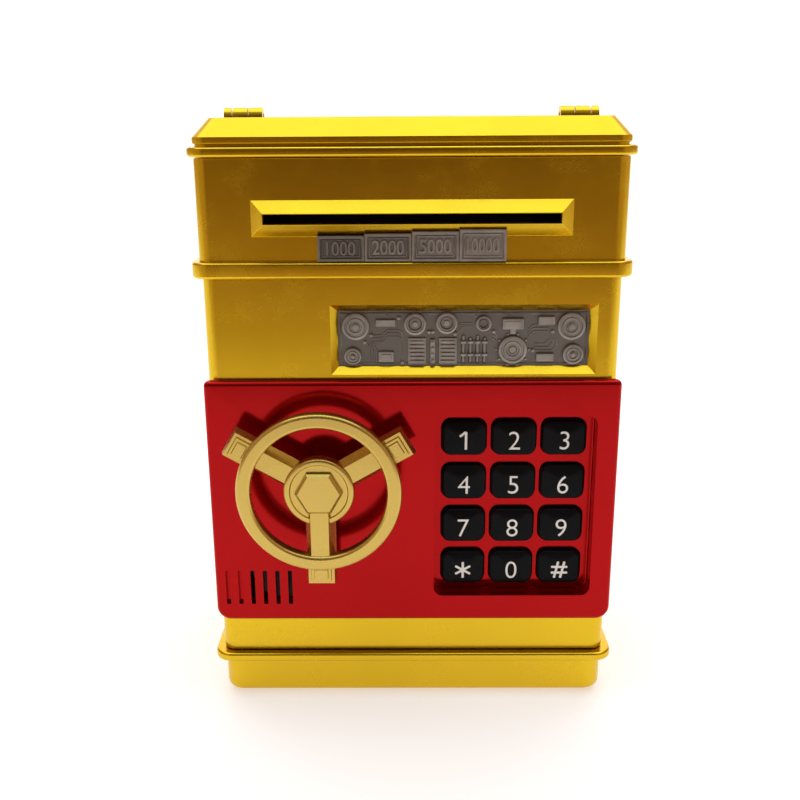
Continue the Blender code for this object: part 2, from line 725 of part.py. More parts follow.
def make_base():
    bm = block_mesh((-SIDE, FRONT, FOOT_PROUD), (SIDE, BACK, BASE_TOP - OVERSHOOT))
    bevel(bm, edges_along(bm, Z), BASE_CORNER, 5)
    bevel(bm, rim_edges(bm, Z, FOOT_PROUD), BASE_FILLET, 3)
    tray = object_from(bm, "base_tray")
    rib_low = FOOT_PROUD + BASE_HEIGHT
    rib = block(
        "base_rib",
        (-SIDE - RIB_PROUD, FRONT - RIB_PROUD, rib_low),
        (SIDE + RIB_PROUD, BACK + RIB_PROUD, BASE_TOP),
        Z,
        RIB_CORNER,
        5,
    )
    hollow = block(
        "base_hollow",
        (-SIDE + WALL, FRONT + WALL, FOOT_PROUD + BASE_FLOOR),
        (SIDE - WALL, BACK - WALL, BASE_TOP + OVERSHOOT),
        Z,
        BASE_CORNER - WALL,
        4,
    )
    add(tray, rib)
    cut(tray, hollow)
    for number, (x, y) in enumerate(corner_points(FOOT_INSET_X, FOOT_INSET_Y), start=1):
        seat = cylinder(
            f"foot_seat_{number}",
            (x, y, FOOT_PROUD + (FOOT_SEAT + GAP) / 2 - OVERSHOOT),
            Z,
            FOOT_RADIUS + GAP,
            FOOT_SEAT + GAP + 2 * OVERSHOOT,
        )
        cut(tray, seat)
        high = FOOT_PROUD + FOOT_SEAT
        profile = [
            (high, 0),
            (high, FOOT_RADIUS),
            (FOOT_EDGE, FOOT_RADIUS),
            (0, FOOT_RADIUS - FOOT_EDGE),
            (0, 0),
        ]
        foot = turned(f"foot_{number}", profile, (x, y, 0), Z, steps=24)
        make_part(foot, f"foot_{number}", "rubber", origin=(x, y, 0))
    seat_depth = SCREW_HEAD_DEPTH + GAP
    for number, (x, y) in enumerate(corner_points(BOSS_INSET, BOSS_INSET + WALL), start=1):
        bore = cylinder(
            f"case_bore_{number}", (x, y, FOOT_PROUD), Z, SCREW_RADIUS + GAP, 8 * OVERSHOOT, 16
        )
        counterbore = cylinder(
            f"case_counterbore_{number}",
            (x, y, FOOT_PROUD + seat_depth / 2 - OVERSHOOT),
            Z,
            SCREW_HEAD + GAP,
            seat_depth + 2 * OVERSHOOT,
            20,
        )
        cut(tray, bore, counterbore)
        screw_part(f"case_screw_{number}", (x, y, FOOT_PROUD), Z, False, SCREW_LENGTH)
    make_part(tray, "base_tray", "gold")


def make_body_shell():
    shell = block(
        "body_shell", (-SIDE, FRONT, BODY_LOW), (SIDE, BACK, BODY_TOP), Z, CORNER, 4
    )
    hollow = cavity(
        "body_hollow", SIDE, FRONT, BACK, BODY_LOW - 5 * OVERSHOOT, BODY_TOP + 5 * OVERSHOOT, WALL, CORNER
    )
    cut(shell, hollow)
    post = block(
        "hinge_post",
        (OPEN_RIGHT, FRONT + 0.5 * MM, OPEN_LOW - 3 * MM),
        (SIDE - 0.8 * MM, FRONT + 7 * MM, OPEN_TOP + 3 * MM),
    )
    round_post = cylinder(
        "hinge_post_round",
        (HINGE_X, HINGE_Y, (OPEN_LOW + OPEN_TOP) / 2),
        Z,
        PIN_RADIUS + GAP + 0.33 * MM,
        OPEN_TOP - OPEN_LOW + 6 * MM,
        20,
    )
    add(shell, post, round_post)
    for number, (x, y) in enumerate(corner_points(BOSS_INSET, BOSS_INSET + WALL), start=1):
        low = FOOT_PROUD + BASE_FLOOR + GAP
        high = BODY_LOW + BOSS_RISE
        boss = cylinder(
            f"boss_{number}", (x, y, (low + high) / 2), Z, BOSS_RADIUS, high - low, 20
        )
        outward = 1 if x > 0 else -1
        inner, outer = sorted((x, outward * (SIDE - WALL / 2)))
        web = block(
            f"boss_web_{number}",
            (inner, y - BOSS_WEB_HALF, BODY_LOW + BOSS_WEB_INSET),
            (outer, y + BOSS_WEB_HALF, high - BOSS_WEB_INSET),
        )
        bore = cylinder(
            f"boss_bore_{number}", (x, y, low), Z, SCREW_RADIUS + GAP, 2 * SCREW_LENGTH, 16
        )
        add(shell, boss, web)
        cut(shell, bore)
    cut_front_openings(shell)
    for number, middle in enumerate(HINGE_HEIGHTS, start=1):
        notch = block(
            f"knuckle_notch_{number}",
            (OPEN_RIGHT - OVERSHOOT, FRONT - OVERSHOOT, middle - KNUCKLE_HEIGHT / 2 - 2 * GAP),
            (SIDE + 2 * OVERSHOOT, FRONT + 5 * OVERSHOOT, middle + KNUCKLE_HEIGHT / 2 + 2 * GAP),
        )
        bore = cylinder(
            f"hinge_bore_{number}",
            (HINGE_X, HINGE_Y, middle),
            Z,
            PIN_RADIUS + GAP,
            KNUCKLE_HEIGHT + 2 * PIN_GRIP + 2 * GAP,
            16,
        )
        cut(shell, notch, bore)
        pin = cylinder(
            f"hinge_pin_{number}",
            (HINGE_X, HINGE_Y, middle),
            Z,
            PIN_RADIUS,
            KNUCKLE_HEIGHT + 2 * PIN_GRIP,
            16,
        )
        make_part(pin, f"hinge_pin_{number}", "steel", origin=(HINGE_X, HINGE_Y, middle))
    make_part(shell, "body_shell", "gold")


def cut_front_openings(shell):
    doorway = block(
        "doorway",
        (OPEN_LEFT, FRONT - 2 * OVERSHOOT, OPEN_LOW),
        (OPEN_RIGHT, FRONT + WALL + 0.6 * MM, OPEN_TOP),
    )
    relief = cylinder(
        "doorway_relief",
        (OPEN_RIGHT, FRONT, (OPEN_LOW + OPEN_TOP) / 2),
        Z,
        HINGE_RELIEF,
        OPEN_TOP - OPEN_LOW,
        4,
    )
    window = tapered(
        "window_cut",
        (WINDOW_LEFT - WINDOW_BEVEL, FRONT - GAP, WINDOW_LOW - WINDOW_BEVEL),
        (
            WINDOW_RIGHT + WINDOW_BEVEL,
            FRONT + WALL + GAP,
            WINDOW_LOW + WINDOW_HEIGHT + WINDOW_BEVEL,
        ),
        Y,
        1,
        WINDOW_BEVEL,
    )
    battery = block(
        "battery_cut",
        (-BOX_INNER_X, BACK - WALL - 2 * OVERSHOOT, BOX_INNER_LOW),
        (BOX_INNER_X, BACK + 2 * OVERSHOOT, BOX_INNER_TOP),
        Y,
        2 * MM,
        2,
    )
    cut(shell, doorway, relief, window, battery)


def make_vault_floor():
    low = BODY_LOW + BOSS_RISE + GAP
    clear = WALL + GAP
    plate = block(
        "vault_floor",
        (-SIDE + clear, FRONT + clear, low),
        (SIDE - clear, BACK - clear, low + 1.6 * MM),
        Z,
        2.0 * MM,
        3,
    )
    make_part(plate, "vault_floor", "black")


def make_head():
    shell = block(
        "head_shell",
        (-HEAD_SIDE, HEAD_FRONT, HEAD_LOW + OVERSHOOT),
        (HEAD_SIDE, HEAD_BACK, HEAD_TOP),
        Z,
        CORNER,
        4,
    )
    rib = block(
        "head_rib",
        (-SIDE - RIB_PROUD, FRONT - RIB_PROUD, HEAD_LOW),
        (SIDE + RIB_PROUD, BACK + RIB_PROUD, HEAD_BAND),
        Z,
        RIB_CORNER,
        5,
    )
    mouth = mouth_block("note_mouth", 0.0)
    hollow = cavity(
        "head_hollow",
        HEAD_SIDE,
        HEAD_FRONT,
        HEAD_BACK,
        HEAD_LOW - 5 * OVERSHOOT,
        HEAD_TOP + 5 * OVERSHOOT,
        WALL,
        CORNER,
    )
    ring = spigot(
        "head_spigot",
        SIDE - WALL - GAP,
        FRONT + WALL + GAP,
        BACK - WALL - GAP,
        HEAD_LOW - LIP_DEPTH,
        HEAD_LOW + 2 * OVERSHOOT,
    )
    ledge = block(
        "head_ledge",
        (-HEAD_SIDE + OVERSHOOT, HEAD_FRONT + OVERSHOOT, HEAD_LOW + 0.6 * MM),
        (HEAD_SIDE - OVERSHOOT, HEAD_BACK - OVERSHOOT, HEAD_LOW + 2.2 * MM),
    )
    ledge_hollow = block(
        "head_ledge_hollow",
        (-SIDE + WALL + GAP + LIP_WALL, FRONT + WALL + GAP + LIP_WALL, HEAD_LOW - OVERSHOOT),
        (SIDE - WALL - GAP - LIP_WALL, BACK - WALL - GAP - LIP_WALL, HEAD_LOW + 4 * MM),
    )
    cut(ledge, ledge_hollow)
    slot = block(
        "note_slot",
        (-SLOT_WIDTH / 2, HEAD_FRONT - MOUTH_PROUD - 2 * OVERSHOOT, SLOT_Z - SLOT_HEIGHT / 2),
        (SLOT_WIDTH / 2, HEAD_FRONT + WALL + 2 * OVERSHOOT, SLOT_Z + SLOT_HEIGHT / 2),
    )
    add(shell, rib, mouth)
    cut(shell, hollow)
    add(shell, ledge, ring)
    cut(shell, slot)
    make_part(shell, "head_shell", "gold")


def mouth_block(name, grow):
    """The wedge-shaped frame round the note slot, or its space with some room all round."""
    half_width = SLOT_WIDTH / 2 + MOUTH_BEVEL + grow
    half_height = SLOT_HEIGHT / 2 + MOUTH_BEVEL + grow
    return tapered(
        name,
        (-half_width, HEAD_FRONT - MOUTH_PROUD - grow, SLOT_Z - half_height),
        (half_width, HEAD_FRONT + WALL / 2, SLOT_Z + half_height),
        Y,
        -1,
        MOUTH_BEVEL - MOUTH_LAND,
    )


def make_note_tiles():
    """Four small note-shaped tiles in a row, each a little higher and further out."""
    low = HEAD_BAND + GAP
    tiles = None
    for index in range(TILE_COUNT):
        left = (index - TILE_COUNT / 2) * TILE_WIDTH
        front = HEAD_FRONT - TILE_PROUD - index * TILE_FAN
        tile = block(
            f"note_tile_{index}",
            (left, front, low),
            (
                left + TILE_WIDTH + 0.2 * MM,
                HEAD_FRONT - GAP,
                low + TILE_HEIGHT + index * TILE_STEP,
            ),
        )
        tiles = tile if tiles is None else add(tiles, tile)
    cut(tiles, mouth_block("tile_relief", GAP))
    make_part(tiles, "note_tiles", "gunmetal")


def make_relief_plate():
    """The plate behind the window, with its larger raised shapes."""
    low = FRONT + WALL + GAP
    plate = block(
        "relief_plate",
        (WINDOW_LEFT - RELIEF_EDGE, low, WINDOW_LOW - RELIEF_EDGE),
        (
            WINDOW_RIGHT + RELIEF_EDGE,
            low + RELIEF_PLATE,
            WINDOW_LOW + WINDOW_HEIGHT + RELIEF_EDGE,
        ),
    )
    raised = (low - RELIEF_PROUD + RELIEF_PLATE) / 2 + low / 2
    length = RELIEF_PLATE + RELIEF_PROUD
    corner = 4.4 * MM
    discs = (
        (corner, WINDOW_HEIGHT - corner, 3.4 * MM),
        (corner, corner, 2.6 * MM),
        (WINDOW_WIDTH - corner, WINDOW_HEIGHT - corner, 3.4 * MM),
        (WINDOW_WIDTH - corner, corner, 2.6 * MM),
        (0.69 * WINDOW_WIDTH, 0.32 * WINDOW_HEIGHT, 4.2 * MM),
    )
    for index, (across, up, radius) in enumerate(discs):
        centre = (WINDOW_LEFT + across, raised, WINDOW_LOW + up)
        add(plate, cylinder(f"relief_disc_{index}", centre, Y, radius, length - 0.4 * MM, 20))
    make_part(plate, "relief_plate", "gunmetal")


def make_cap():
    side = SIDE + CAP_PROUD
    front = FRONT - CAP_PROUD
    back = BACK + CAP_PROUD
    fascia_top = FASCIA_LOW + FASCIA_HEIGHT
    cap = block(
        "cap",
        (-SIDE - FLANGE_PROUD, FRONT - FLANGE_PROUD, CAP_LOW),
        (SIDE + FLANGE_PROUD, BACK + FLANGE_PROUD, CAP_LOW + FLANGE_HEIGHT),
        Z,
        RIB_CORNER,
        5,
    )
    neck = block(
        "cap_neck",
        (-SIDE - 0.1 * MM, FRONT - 0.1 * MM, CAP_LOW + OVERSHOOT),
        (SIDE + 0.1 * MM, BACK + 0.1 * MM, FASCIA_LOW + OVERSHOOT),
        Z,
        CORNER,
        4,
    )
    fascia = block(
        "cap_fascia", (-side, front, FASCIA_LOW), (side, back, fascia_top), Z, CORNER, 4
    )
    roof = tapered(
        "cap_roof",
        (-side, front, fascia_top - 0.0002),
        (side, back, TOP),
        Z,
        1,
        CHAMFER_INSET,
        CORNER,
        4,
    )
    hollow = cavity(
        "cap_hollow",
        HEAD_SIDE,
        HEAD_FRONT,
        HEAD_BACK,
        CAP_LOW - 5 * OVERSHOOT,
        TOP - CAP_TOP,
        WALL,
        CORNER,
    )
    add(cap, neck, fascia, roof)
    cut(cap, hollow)
    add_lugs(cap)
    slot = block(
        "coin_slot",
        (-COIN_LENGTH / 2, COIN_Y - COIN_WIDTH / 2, CAP_LOW),
        (COIN_LENGTH / 2, COIN_Y + COIN_WIDTH / 2, TOP + 5 * OVERSHOOT),
        Z,
        COIN_WIDTH / 2 - 0.1 * MM,
        3,
    )
    bar_inner = HANDLE_Y + HANDLE_REACH - HANDLE_BAR - HANDLE_CLEAR
    floor = TOP - HANDLE_SINK - HANDLE_THICKNESS - GAP
    finger = block(
        "finger_well",
        (-FINGER_WIDTH / 2, bar_inner - FINGER_REACH, floor),
        (FINGER_WIDTH / 2, bar_inner + OVERSHOOT, TOP + 5 * OVERSHOOT),
        Z,
        4 * MM,
        4,
    )
    groove = handle_outline("handle_groove", HANDLE_CLEAR, floor, TOP + 5 * OVERSHOOT)
    cut(cap, groove, finger, slot)
    for index, way in enumerate((-1, 1)):
        knuckle_room = cylinder(
            f"knuckle_room_{index}",
            (way * (LUG_OUTER - LUG_CHEEK_OUTER - LUG_KNUCKLE / 2), HANDLE_Y, TOP),
            X,
            LUG_RADIUS + GAP,
            LUG_KNUCKLE,
            24,
        )
        bore = cylinder(
            f"lug_bore_{index}", lug_centre(way), X, PIN_RADIUS + GAP, 16 * MM, 16
        )
        cut(cap, knuckle_room, bore)
    make_part(cap, "cap", "gold")


def lug_centre(way):
    width = LUG_CHEEK_OUTER + LUG_KNUCKLE + LUG_CHEEK_INNER
    return (way * (LUG_OUTER - width / 2), HANDLE_Y, TOP)


def add_lugs(cap):
    """Two pairs of half-round cheeks on the top, which hold the handle's pins."""
    inner = LUG_OUTER - LUG_CHEEK_OUTER - LUG_KNUCKLE - LUG_CHEEK_INNER
    spans = (
        (LUG_OUTER - LUG_CHEEK_OUTER, LUG_OUTER),
        (inner, inner + LUG_CHEEK_INNER),
    )
    for way in (-1, 1):
        for index, (low, high) in enumerate(spans):
            cheek = cylinder(
                f"lug_cheek_{index}_{way}",
                (way * (low + high) / 2, HANDLE_Y, TOP),
                X,
                LUG_RADIUS,
                high - low,
                24,
            )
            add(cap, cheek)


def handle_outline(name, grow, low, high):
    """The handle's U, from its knuckles to its bar, or the groove for it with room all round."""
    outer = LUG_OUTER - LUG_CHEEK_OUTER - (LUG_KNUCKLE - HANDLE_BAR) / 2 + grow
    inner = outer - HANDLE_BAR - 2 * grow
    near = HANDLE_Y - grow
    far = HANDLE_Y + HANDLE_REACH + grow
    turn = HANDLE_CORNER + grow
    inside = HANDLE_CORNER - HANDLE_BAR - grow + 0.0008
    points = [(outer, near)]
    points += arc((outer - turn, far - turn), turn, 0, 90, 6)
    points += arc((-outer + turn, far - turn), turn, 90, 180, 6)
    points += [(-outer, near), (-inner, near)]
    low_edge = far - HANDLE_BAR - 2 * grow
    points += arc((-inner + inside, low_edge - inside), inside, 180, 90, 4)
    points += arc((inner - inside, low_edge - inside), inside, 90, 0, 4)
    points += [(inner, near)]
    return outline(name, [points], low, high, Z)


def make_handle():
    axis = axis_empty("handle_axis", (0, HANDLE_Y, TOP))
    high = TOP - HANDLE_SINK
    bail = handle_outline("handle", 0.0, high - HANDLE_THICKNESS, high)
    for index, way in enumerate((-1, 1)):
        middle = way * (LUG_OUTER - LUG_CHEEK_OUTER - LUG_KNUCKLE / 2)
        eye = cylinder(
            f"handle_eye_{index}",
            (middle, HANDLE_Y, TOP),
            X,
            LUG_RADIUS,
            HANDLE_BAR - 0.1 * MM,
            24,
        )
        bore = cylinder(
            f"handle_bore_{index}", (middle, HANDLE_Y, TOP), X, PIN_RADIUS + GAP, 12 * MM, 16
        )
        trim = block(
            f"handle_trim_{index}",
            (middle - HANDLE_BAR, HANDLE_Y - 8 * MM, TOP - 8 * MM),
            (middle + HANDLE_BAR, HANDLE_Y, TOP - LUG_RADIUS - 0.2 * MM),
        )
        cut(bail, trim)
        add(bail, eye)
        cut(bail, bore)
        pin_length = LUG_CHEEK_OUTER + LUG_KNUCKLE + LUG_CHEEK_INNER - 2 * GAP
        name = ("handle_pin_left", "handle_pin_right")[index]
        pin = cylinder(name, lug_centre(way), X, PIN_RADIUS, pin_length, 16)
        make_part(pin, name, "steel", origin=lug_centre(way))
    make_part(bail, "handle", "gold", origin=(0, HANDLE_Y, TOP), parent=axis)


def make_coin_chute():
    high = TOP - CAP_TOP - GAP
    half_x = COIN_LENGTH / 2 + COIN_CHUTE_WALL
    half_y = COIN_WIDTH / 2 + COIN_CHUTE_WALL
    chute = block(
        "coin_chute",
        (-half_x, COIN_Y - half_y, high - COIN_CHUTE_HEIGHT),
        (half_x, COIN_Y + half_y, high),
    )
    flange = block(
        "coin_chute_flange",
        (-half_x - 3 * MM, COIN_Y - half_y - 2 * OVERSHOOT, high - 1.4 * MM),
        (half_x + 3 * MM, COIN_Y + half_y + 2 * OVERSHOOT, high),
    )
    bore = block(
        "coin_chute_bore",
        (-COIN_LENGTH / 2, COIN_Y - COIN_WIDTH / 2, high - COIN_CHUTE_HEIGHT - 2 * OVERSHOOT),
        (COIN_LENGTH / 2, COIN_Y + COIN_WIDTH / 2, high + 2 * OVERSHOOT),
    )
    add(chute, flange)
    cut(chute, bore)
    make_part(chute, "coin_chute", "black")


# --- Door -------------------------------------------------------------------------------------


def make_door(axis):
    bm = block_mesh((-DOOR_SIDE, DOOR_FRONT, DOOR_LOW), (DOOR_SIDE, DOOR_BACK, DOOR_TOP))
    middle = (DOOR_LOW + DOOR_TOP) / 2
    bevel(bm, edges_along(bm, Y, lambda point: point[Z] < middle), DOOR_FOOT_CORNER, 5)
    bevel(bm, edges_along(bm, Y, lambda point: point[Z] > middle), DOOR_HEAD_CORNER, 3)
    bevel(bm, rim_edges(bm, Y, DOOR_FRONT), DOOR_FILLET, 3)
    door = object_from(bm, "door_shell")
    collar = block(
        "door_collar",
        (COLLAR_LEFT, DOOR_BACK - 0.5 * MM, COLLAR_LOW),
        (COLLAR_RIGHT, COLLAR_END, COLLAR_TOP),
    )
    collar_hollow = block(
        "door_collar_hollow",
        (COLLAR_LEFT + COLLAR_WALL, DOOR_BACK, COLLAR_LOW + COLLAR_WALL),
        (COLLAR_RIGHT - COLLAR_WALL, COLLAR_END + 2 * OVERSHOOT, COLLAR_TOP - COLLAR_WALL),
    )
    cut(collar, collar_hollow)
    add(door, collar)
    well_low = (KEYPAD_X - WELL_WIDTH / 2, DOOR_FRONT - 2 * OVERSHOOT, KEYPAD_Z - WELL_HEIGHT / 2)
    well_high = (KEYPAD_X + WELL_WIDTH / 2, WELL_FLOOR, KEYPAD_Z + WELL_HEIGHT / 2)
    well_box = block(
        "well_box",
        (well_low[X] - WELL_WALL, DOOR_BACK - 0.4 * MM, well_low[Z] - WELL_WALL),
        (COLLAR_RIGHT - 0.1 * MM, KEY_PLATE_BACK, well_high[Z] + WELL_WALL),
    )
    well = block("keypad_well", well_low, well_high, Y, WELL_CORNER, 4)
    add(door, well_box)
    cut(door, well)
    boss = cylinder(
        "shaft_boss",
        (WHEEL_X, (DOOR_BACK + BOLT_FRONT) / 2 - 0.5 * MM, WHEEL_Z),
        Y,
        SHAFT_RADIUS + SHAFT_BOSS_WALL,
        BOLT_FRONT - DOOR_BACK,
        24,
    )
    add(door, boss)
    add_knuckles(door)
    for name, x, z in key_places():
        hole = block(
            f"hole_{name}",
            (x - KEY_HOLE_WIDTH / 2, WELL_FLOOR - OVERSHOOT, z - KEY_HOLE_HEIGHT / 2),
            (x + KEY_HOLE_WIDTH / 2, KEY_PLATE_BACK + OVERSHOOT, z + KEY_HOLE_HEIGHT / 2),
            Y,
            KEY_CORNER,
            3,
        )
        cut(door, hole)
    shaft_hole = cylinder(
        "shaft_hole", (WHEEL_X, FRONT, WHEEL_Z), Y, SHAFT_RADIUS + RUNNING, 12 * MM, 24
    )
    bolt_hole = block(
        "bolt_hole",
        (COLLAR_LEFT - 2 * OVERSHOOT, BOLT_FRONT - GAP, BOLT_LOW - GAP),
        (COLLAR_LEFT + COLLAR_WALL + 2 * OVERSHOOT, BOLT_BACK + GAP, RACK_TIP + GAP),
    )
    cut(door, shaft_hole, bolt_hole)
    cut_vents(door)
    for x, z in door_screw_places():
        post = cylinder(
            f"door_post_{z:.4f}", (x, (DOOR_BACK + COLLAR_END) / 2 - 0.3 * MM, z), Y,
            DOOR_POST_RADIUS, COLLAR_END - DOOR_BACK + 0.6 * MM, 16,
        )
        bore = cylinder(
            f"door_post_bore_{z:.4f}", (x, COLLAR_END, z), Y, SCREW_RADIUS + GAP, 14 * MM, 16
        )
        add(door, post)
        cut(door, bore)
    make_part(door, "door_shell", "red", origin=axis.location, parent=axis)


def add_knuckles(door):
    """Two knuckles behind the door's right edge, bored for the hinge pins."""
    neck = 1.4 * MM
    for number, middle in enumerate(HINGE_HEIGHTS, start=1):
        low = middle - KNUCKLE_HEIGHT / 2
        high = middle + KNUCKLE_HEIGHT / 2
        arm = block(
            f"knuckle_arm_{number}",
            (HINGE_X - neck, DOOR_BACK - 0.6 * MM, low),
            (HINGE_X + neck, HINGE_Y, high),
        )
        barrel = cylinder(
            f"knuckle_{number}",
            (HINGE_X, HINGE_Y, middle),
            Z,
            KNUCKLE_RADIUS,
            KNUCKLE_HEIGHT - SEAM,
            20,
        )
        bore = cylinder(
            f"knuckle_bore_{number}",
            (HINGE_X, HINGE_Y, middle),
            Z,
            PIN_RADIUS + GAP,
            KNUCKLE_HEIGHT + 2 * OVERSHOOT,
            16,
        )
        add(door, arm, barrel)
        cut(door, bore)


def cut_vents(door):
    """Six slots, through to the speaker wherever the door is hollow behind them."""
    for index in range(VENT_COUNT):
        x = -DOOR_SIDE + VENT_INSET + index * VENT_PITCH
        low = DOOR_LOW + VENT_RISE
        through = x > COLLAR_LEFT + COLLAR_WALL + VENT_WIDTH
        depth = DOOR_PLATE + 1 * MM if through else VENT_DEPTH
        slot = block(
            f"vent_{index}",
            (x - VENT_WIDTH / 2, DOOR_FRONT - 2 * OVERSHOOT, low),
            (x + VENT_WIDTH / 2, DOOR_FRONT + depth, low + VENT_HEIGHT),
        )
        cut(door, slot)


def key_places():
    for row, names in enumerate(KEY_NAMES):
        for column, name in enumerate(names):
            x = KEYPAD_X + (column - (KEY_COLUMNS - 1) / 2) * KEY_PITCH_X
            z = KEYPAD_Z + ((KEY_ROWS - 1) / 2 - row) * KEY_PITCH_Z
            yield name, x, z


def door_screw_places():
    inset = COLLAR_WALL + DOOR_SCREW_INSET
    x = COLLAR_LEFT + inset
    return ((x, COLLAR_TOP - inset), (x, COLLAR_LOW + DOOR_SCREW_RISE))


def make_door_back(axis):
    low = COLLAR_END + GAP
    left = COLLAR_LEFT + 1.2 * MM
    right = COLLAR_RIGHT - 0.1 * MM
    tray = block("door_back", (left, low, COLLAR_LOW), (right, BAY_END, COLLAR_TOP))
    hollow = block(
        "door_back_hollow",
        (left + COLLAR_WALL, low - 2 * OVERSHOOT, COLLAR_LOW + COLLAR_WALL),
        (right - COLLAR_WALL, BAY_END - COLLAR_WALL, COLLAR_TOP - COLLAR_WALL),
    )
    cut(tray, hollow)
    wall_front = BAY_END - COLLAR_WALL + 0.4 * MM
    rail_left = COLLAR_LEFT + RAIL_INSET
    rail_right = LOCK_PIN_X + RAIL_PAST_PIN
    rail = block(
        "bolt_rail",
        (rail_left, BOLT_FRONT, BOLT_LOW - RAIL_DEPTH),
        (rail_right, wall_front, BOLT_LOW - GAP),
    )
    rest = block(
        "bolt_rest",
        (rail_left, BOLT_BACK + GAP, BOLT_LOW - REST_LAP),
        (rail_right, wall_front, BOLT_ROOT - REST_DROP),
    )
    boss = cylinder(
        "shaft_end_boss",
        (WHEEL_X, (BOLT_BACK + SHAFT_END_SET_BACK + wall_front) / 2, WHEEL_Z),
        Y,
        SHAFT_RADIUS + SHAFT_END_WALL,
        wall_front - BOLT_BACK - SHAFT_END_SET_BACK,
        24,
    )
    add(tray, rail, rest, boss)
    pin_hole = cylinder(
        "lock_pin_hole",
        (LOCK_PIN_X, (BOLT_FRONT + BOLT_BACK) / 2, BOLT_LOW - OVERSHOOT),
        Z,
        LOCK_PIN_RADIUS + GAP,
        6 * MM,
        16,
    )
    shaft_end = cylinder(
        "shaft_end_hole",
        (WHEEL_X, BAY_END - COLLAR_WALL - 4 * MM, WHEEL_Z),
        Y,
        SHAFT_RADIUS + RUNNING,
        8 * MM,
        24,
    )
    pin_channel = block(
        "lock_pin_channel",
        (
            LOCK_PIN_X - LOCK_PIN_RADIUS - GAP,
            BOLT_BACK - GAP,
            BOLT_LOW - 4 * MM,
        ),
        (
            LOCK_PIN_X + LOCK_PIN_RADIUS + GAP,
            BOLT_BACK + 0.6 * MM,
            BOLT_ROOT,
        ),
    )
    cut(tray, pin_hole, shaft_end, pin_channel)
    for index, (x, z) in enumerate(door_screw_places(), start=1):
        point = (x, BAY_END, z)
        post = cylinder(
            f"back_post_{index}", (x, (low + BAY_END) / 2, z), Y,
            DOOR_POST_RADIUS, BAY_END - low - 0.2 * MM, 16,
        )
        bore = cylinder(f"back_bore_{index}", point, Y, SCREW_RADIUS + GAP, 20 * MM, 16)
        seat = cylinder(
            f"back_seat_{index}", point, Y, SCREW_HEAD + GAP,
            2 * (DOOR_SCREW_SEAT + GAP), 20,
        )
        seat_wall = cylinder(
            f"back_seat_wall_{index}", (x, (low + BAY_END) / 2 + OVERSHOOT, z), Y,
            SCREW_HEAD + GAP + SCREW_SEAT_WALL, BAY_END - low - 2.2 * MM, 20,
        )
        add(tray, post, seat_wall)
        cut(tray, bore, seat)
        head = (x, BAY_END - DOOR_SCREW_SEAT + SCREW_HEAD_DEPTH, z)
        screw_part(f"door_screw_{index}", head, Y, True, DOOR_SCREW_LENGTH, axis)
    make_part(tray, "door_back", "black", origin=axis.location, parent=axis)


def make_keypad(axis):
    places = list(key_places())
    flange_back = KEY_PLATE_BACK + GAP + KEY_FLANGE
    mat_front = flange_back + KEY_TRAVEL + MAT_CLEAR
    board_front = mat_front + MAT_THICKNESS + BOARD_CLEAR
    half_x = WELL_WIDTH / 2 - WELL_MARGIN_X + MAT_MARGIN
    half_z = WELL_HEIGHT / 2 - WELL_MARGIN_Z + MAT_MARGIN
    sheets = (
        ("key_mat", mat_front, MAT_THICKNESS, 0.0, "rubber"),
        ("key_board", board_front, BOARD_THICKNESS, BOARD_MARGIN, "green"),
    )
    for name, front, thickness, grow, finish in sheets:
        sheet = block(
            name,
            (KEYPAD_X - half_x - grow, front, KEYPAD_Z - half_z - grow),
            (KEYPAD_X + half_x + grow, front + thickness, KEYPAD_Z + half_z + grow),
            Y,
            MAT_CORNER,
            2,
        )
        make_part(sheet, name, finish, origin=axis.location, parent=axis)
    flange_x = (KEY_PITCH_X - KEY_FLANGE_GAP) / 2
    flange_z = KEY_HOLE_HEIGHT / 2 + KEY_FLANGE_LAP
    for name, x, z in places:
        half_width = KEY_HOLE_WIDTH / 2 - KEY_CLEAR
        half_height = KEY_HOLE_HEIGHT / 2 - KEY_CLEAR
        bm = block_mesh(
            (x - half_width, KEY_FRONT, z - half_height),
            (x + half_width, flange_back - 0.2 * MM, z + half_height),
        )
        bevel(bm, edges_along(bm, Y), KEY_CORNER - KEY_CLEAR, 3)
        bevel(bm, rim_edges(bm, Y, KEY_FRONT), KEY_CROWN, 2)
        key = object_from(bm, f"key_{name}")
        flange = block(
            f"key_flange_{name}",
            (x - flange_x, KEY_PLATE_BACK + GAP, z - flange_z),
            (x + flange_x, flange_back, z + flange_z),
        )
        add(key, flange)
        make_part(key, f"key_{name}", "black", origin=(x, KEY_FRONT, z), parent=axis)


def make_speaker(axis):
    x = COLLAR_LEFT + COLLAR_WALL + SPEAKER_RADIUS + 0.6 * MM
    z = COLLAR_LOW + COLLAR_WALL + SPEAKER_RADIUS + 0.6 * MM
    front = DOOR_BACK + GAP
    profile = [
        (SPEAKER_DEPTH, 0),
        (SPEAKER_DEPTH, 0.55 * SPEAKER_RADIUS),
        (0.5 * SPEAKER_DEPTH, 0.6 * SPEAKER_RADIUS),
        (0.35 * SPEAKER_DEPTH, SPEAKER_RADIUS),
        (0, SPEAKER_RADIUS),
        (0, 0.85 * SPEAKER_RADIUS),
        (0.3 * SPEAKER_DEPTH, 0.3 * SPEAKER_RADIUS),
        (0.3 * SPEAKER_DEPTH, 0),
    ]
    speaker = turned("speaker", profile, (x, front, z), Y, steps=28)
    make_part(speaker, "speaker", "steel", origin=(x, front, z), parent=axis)


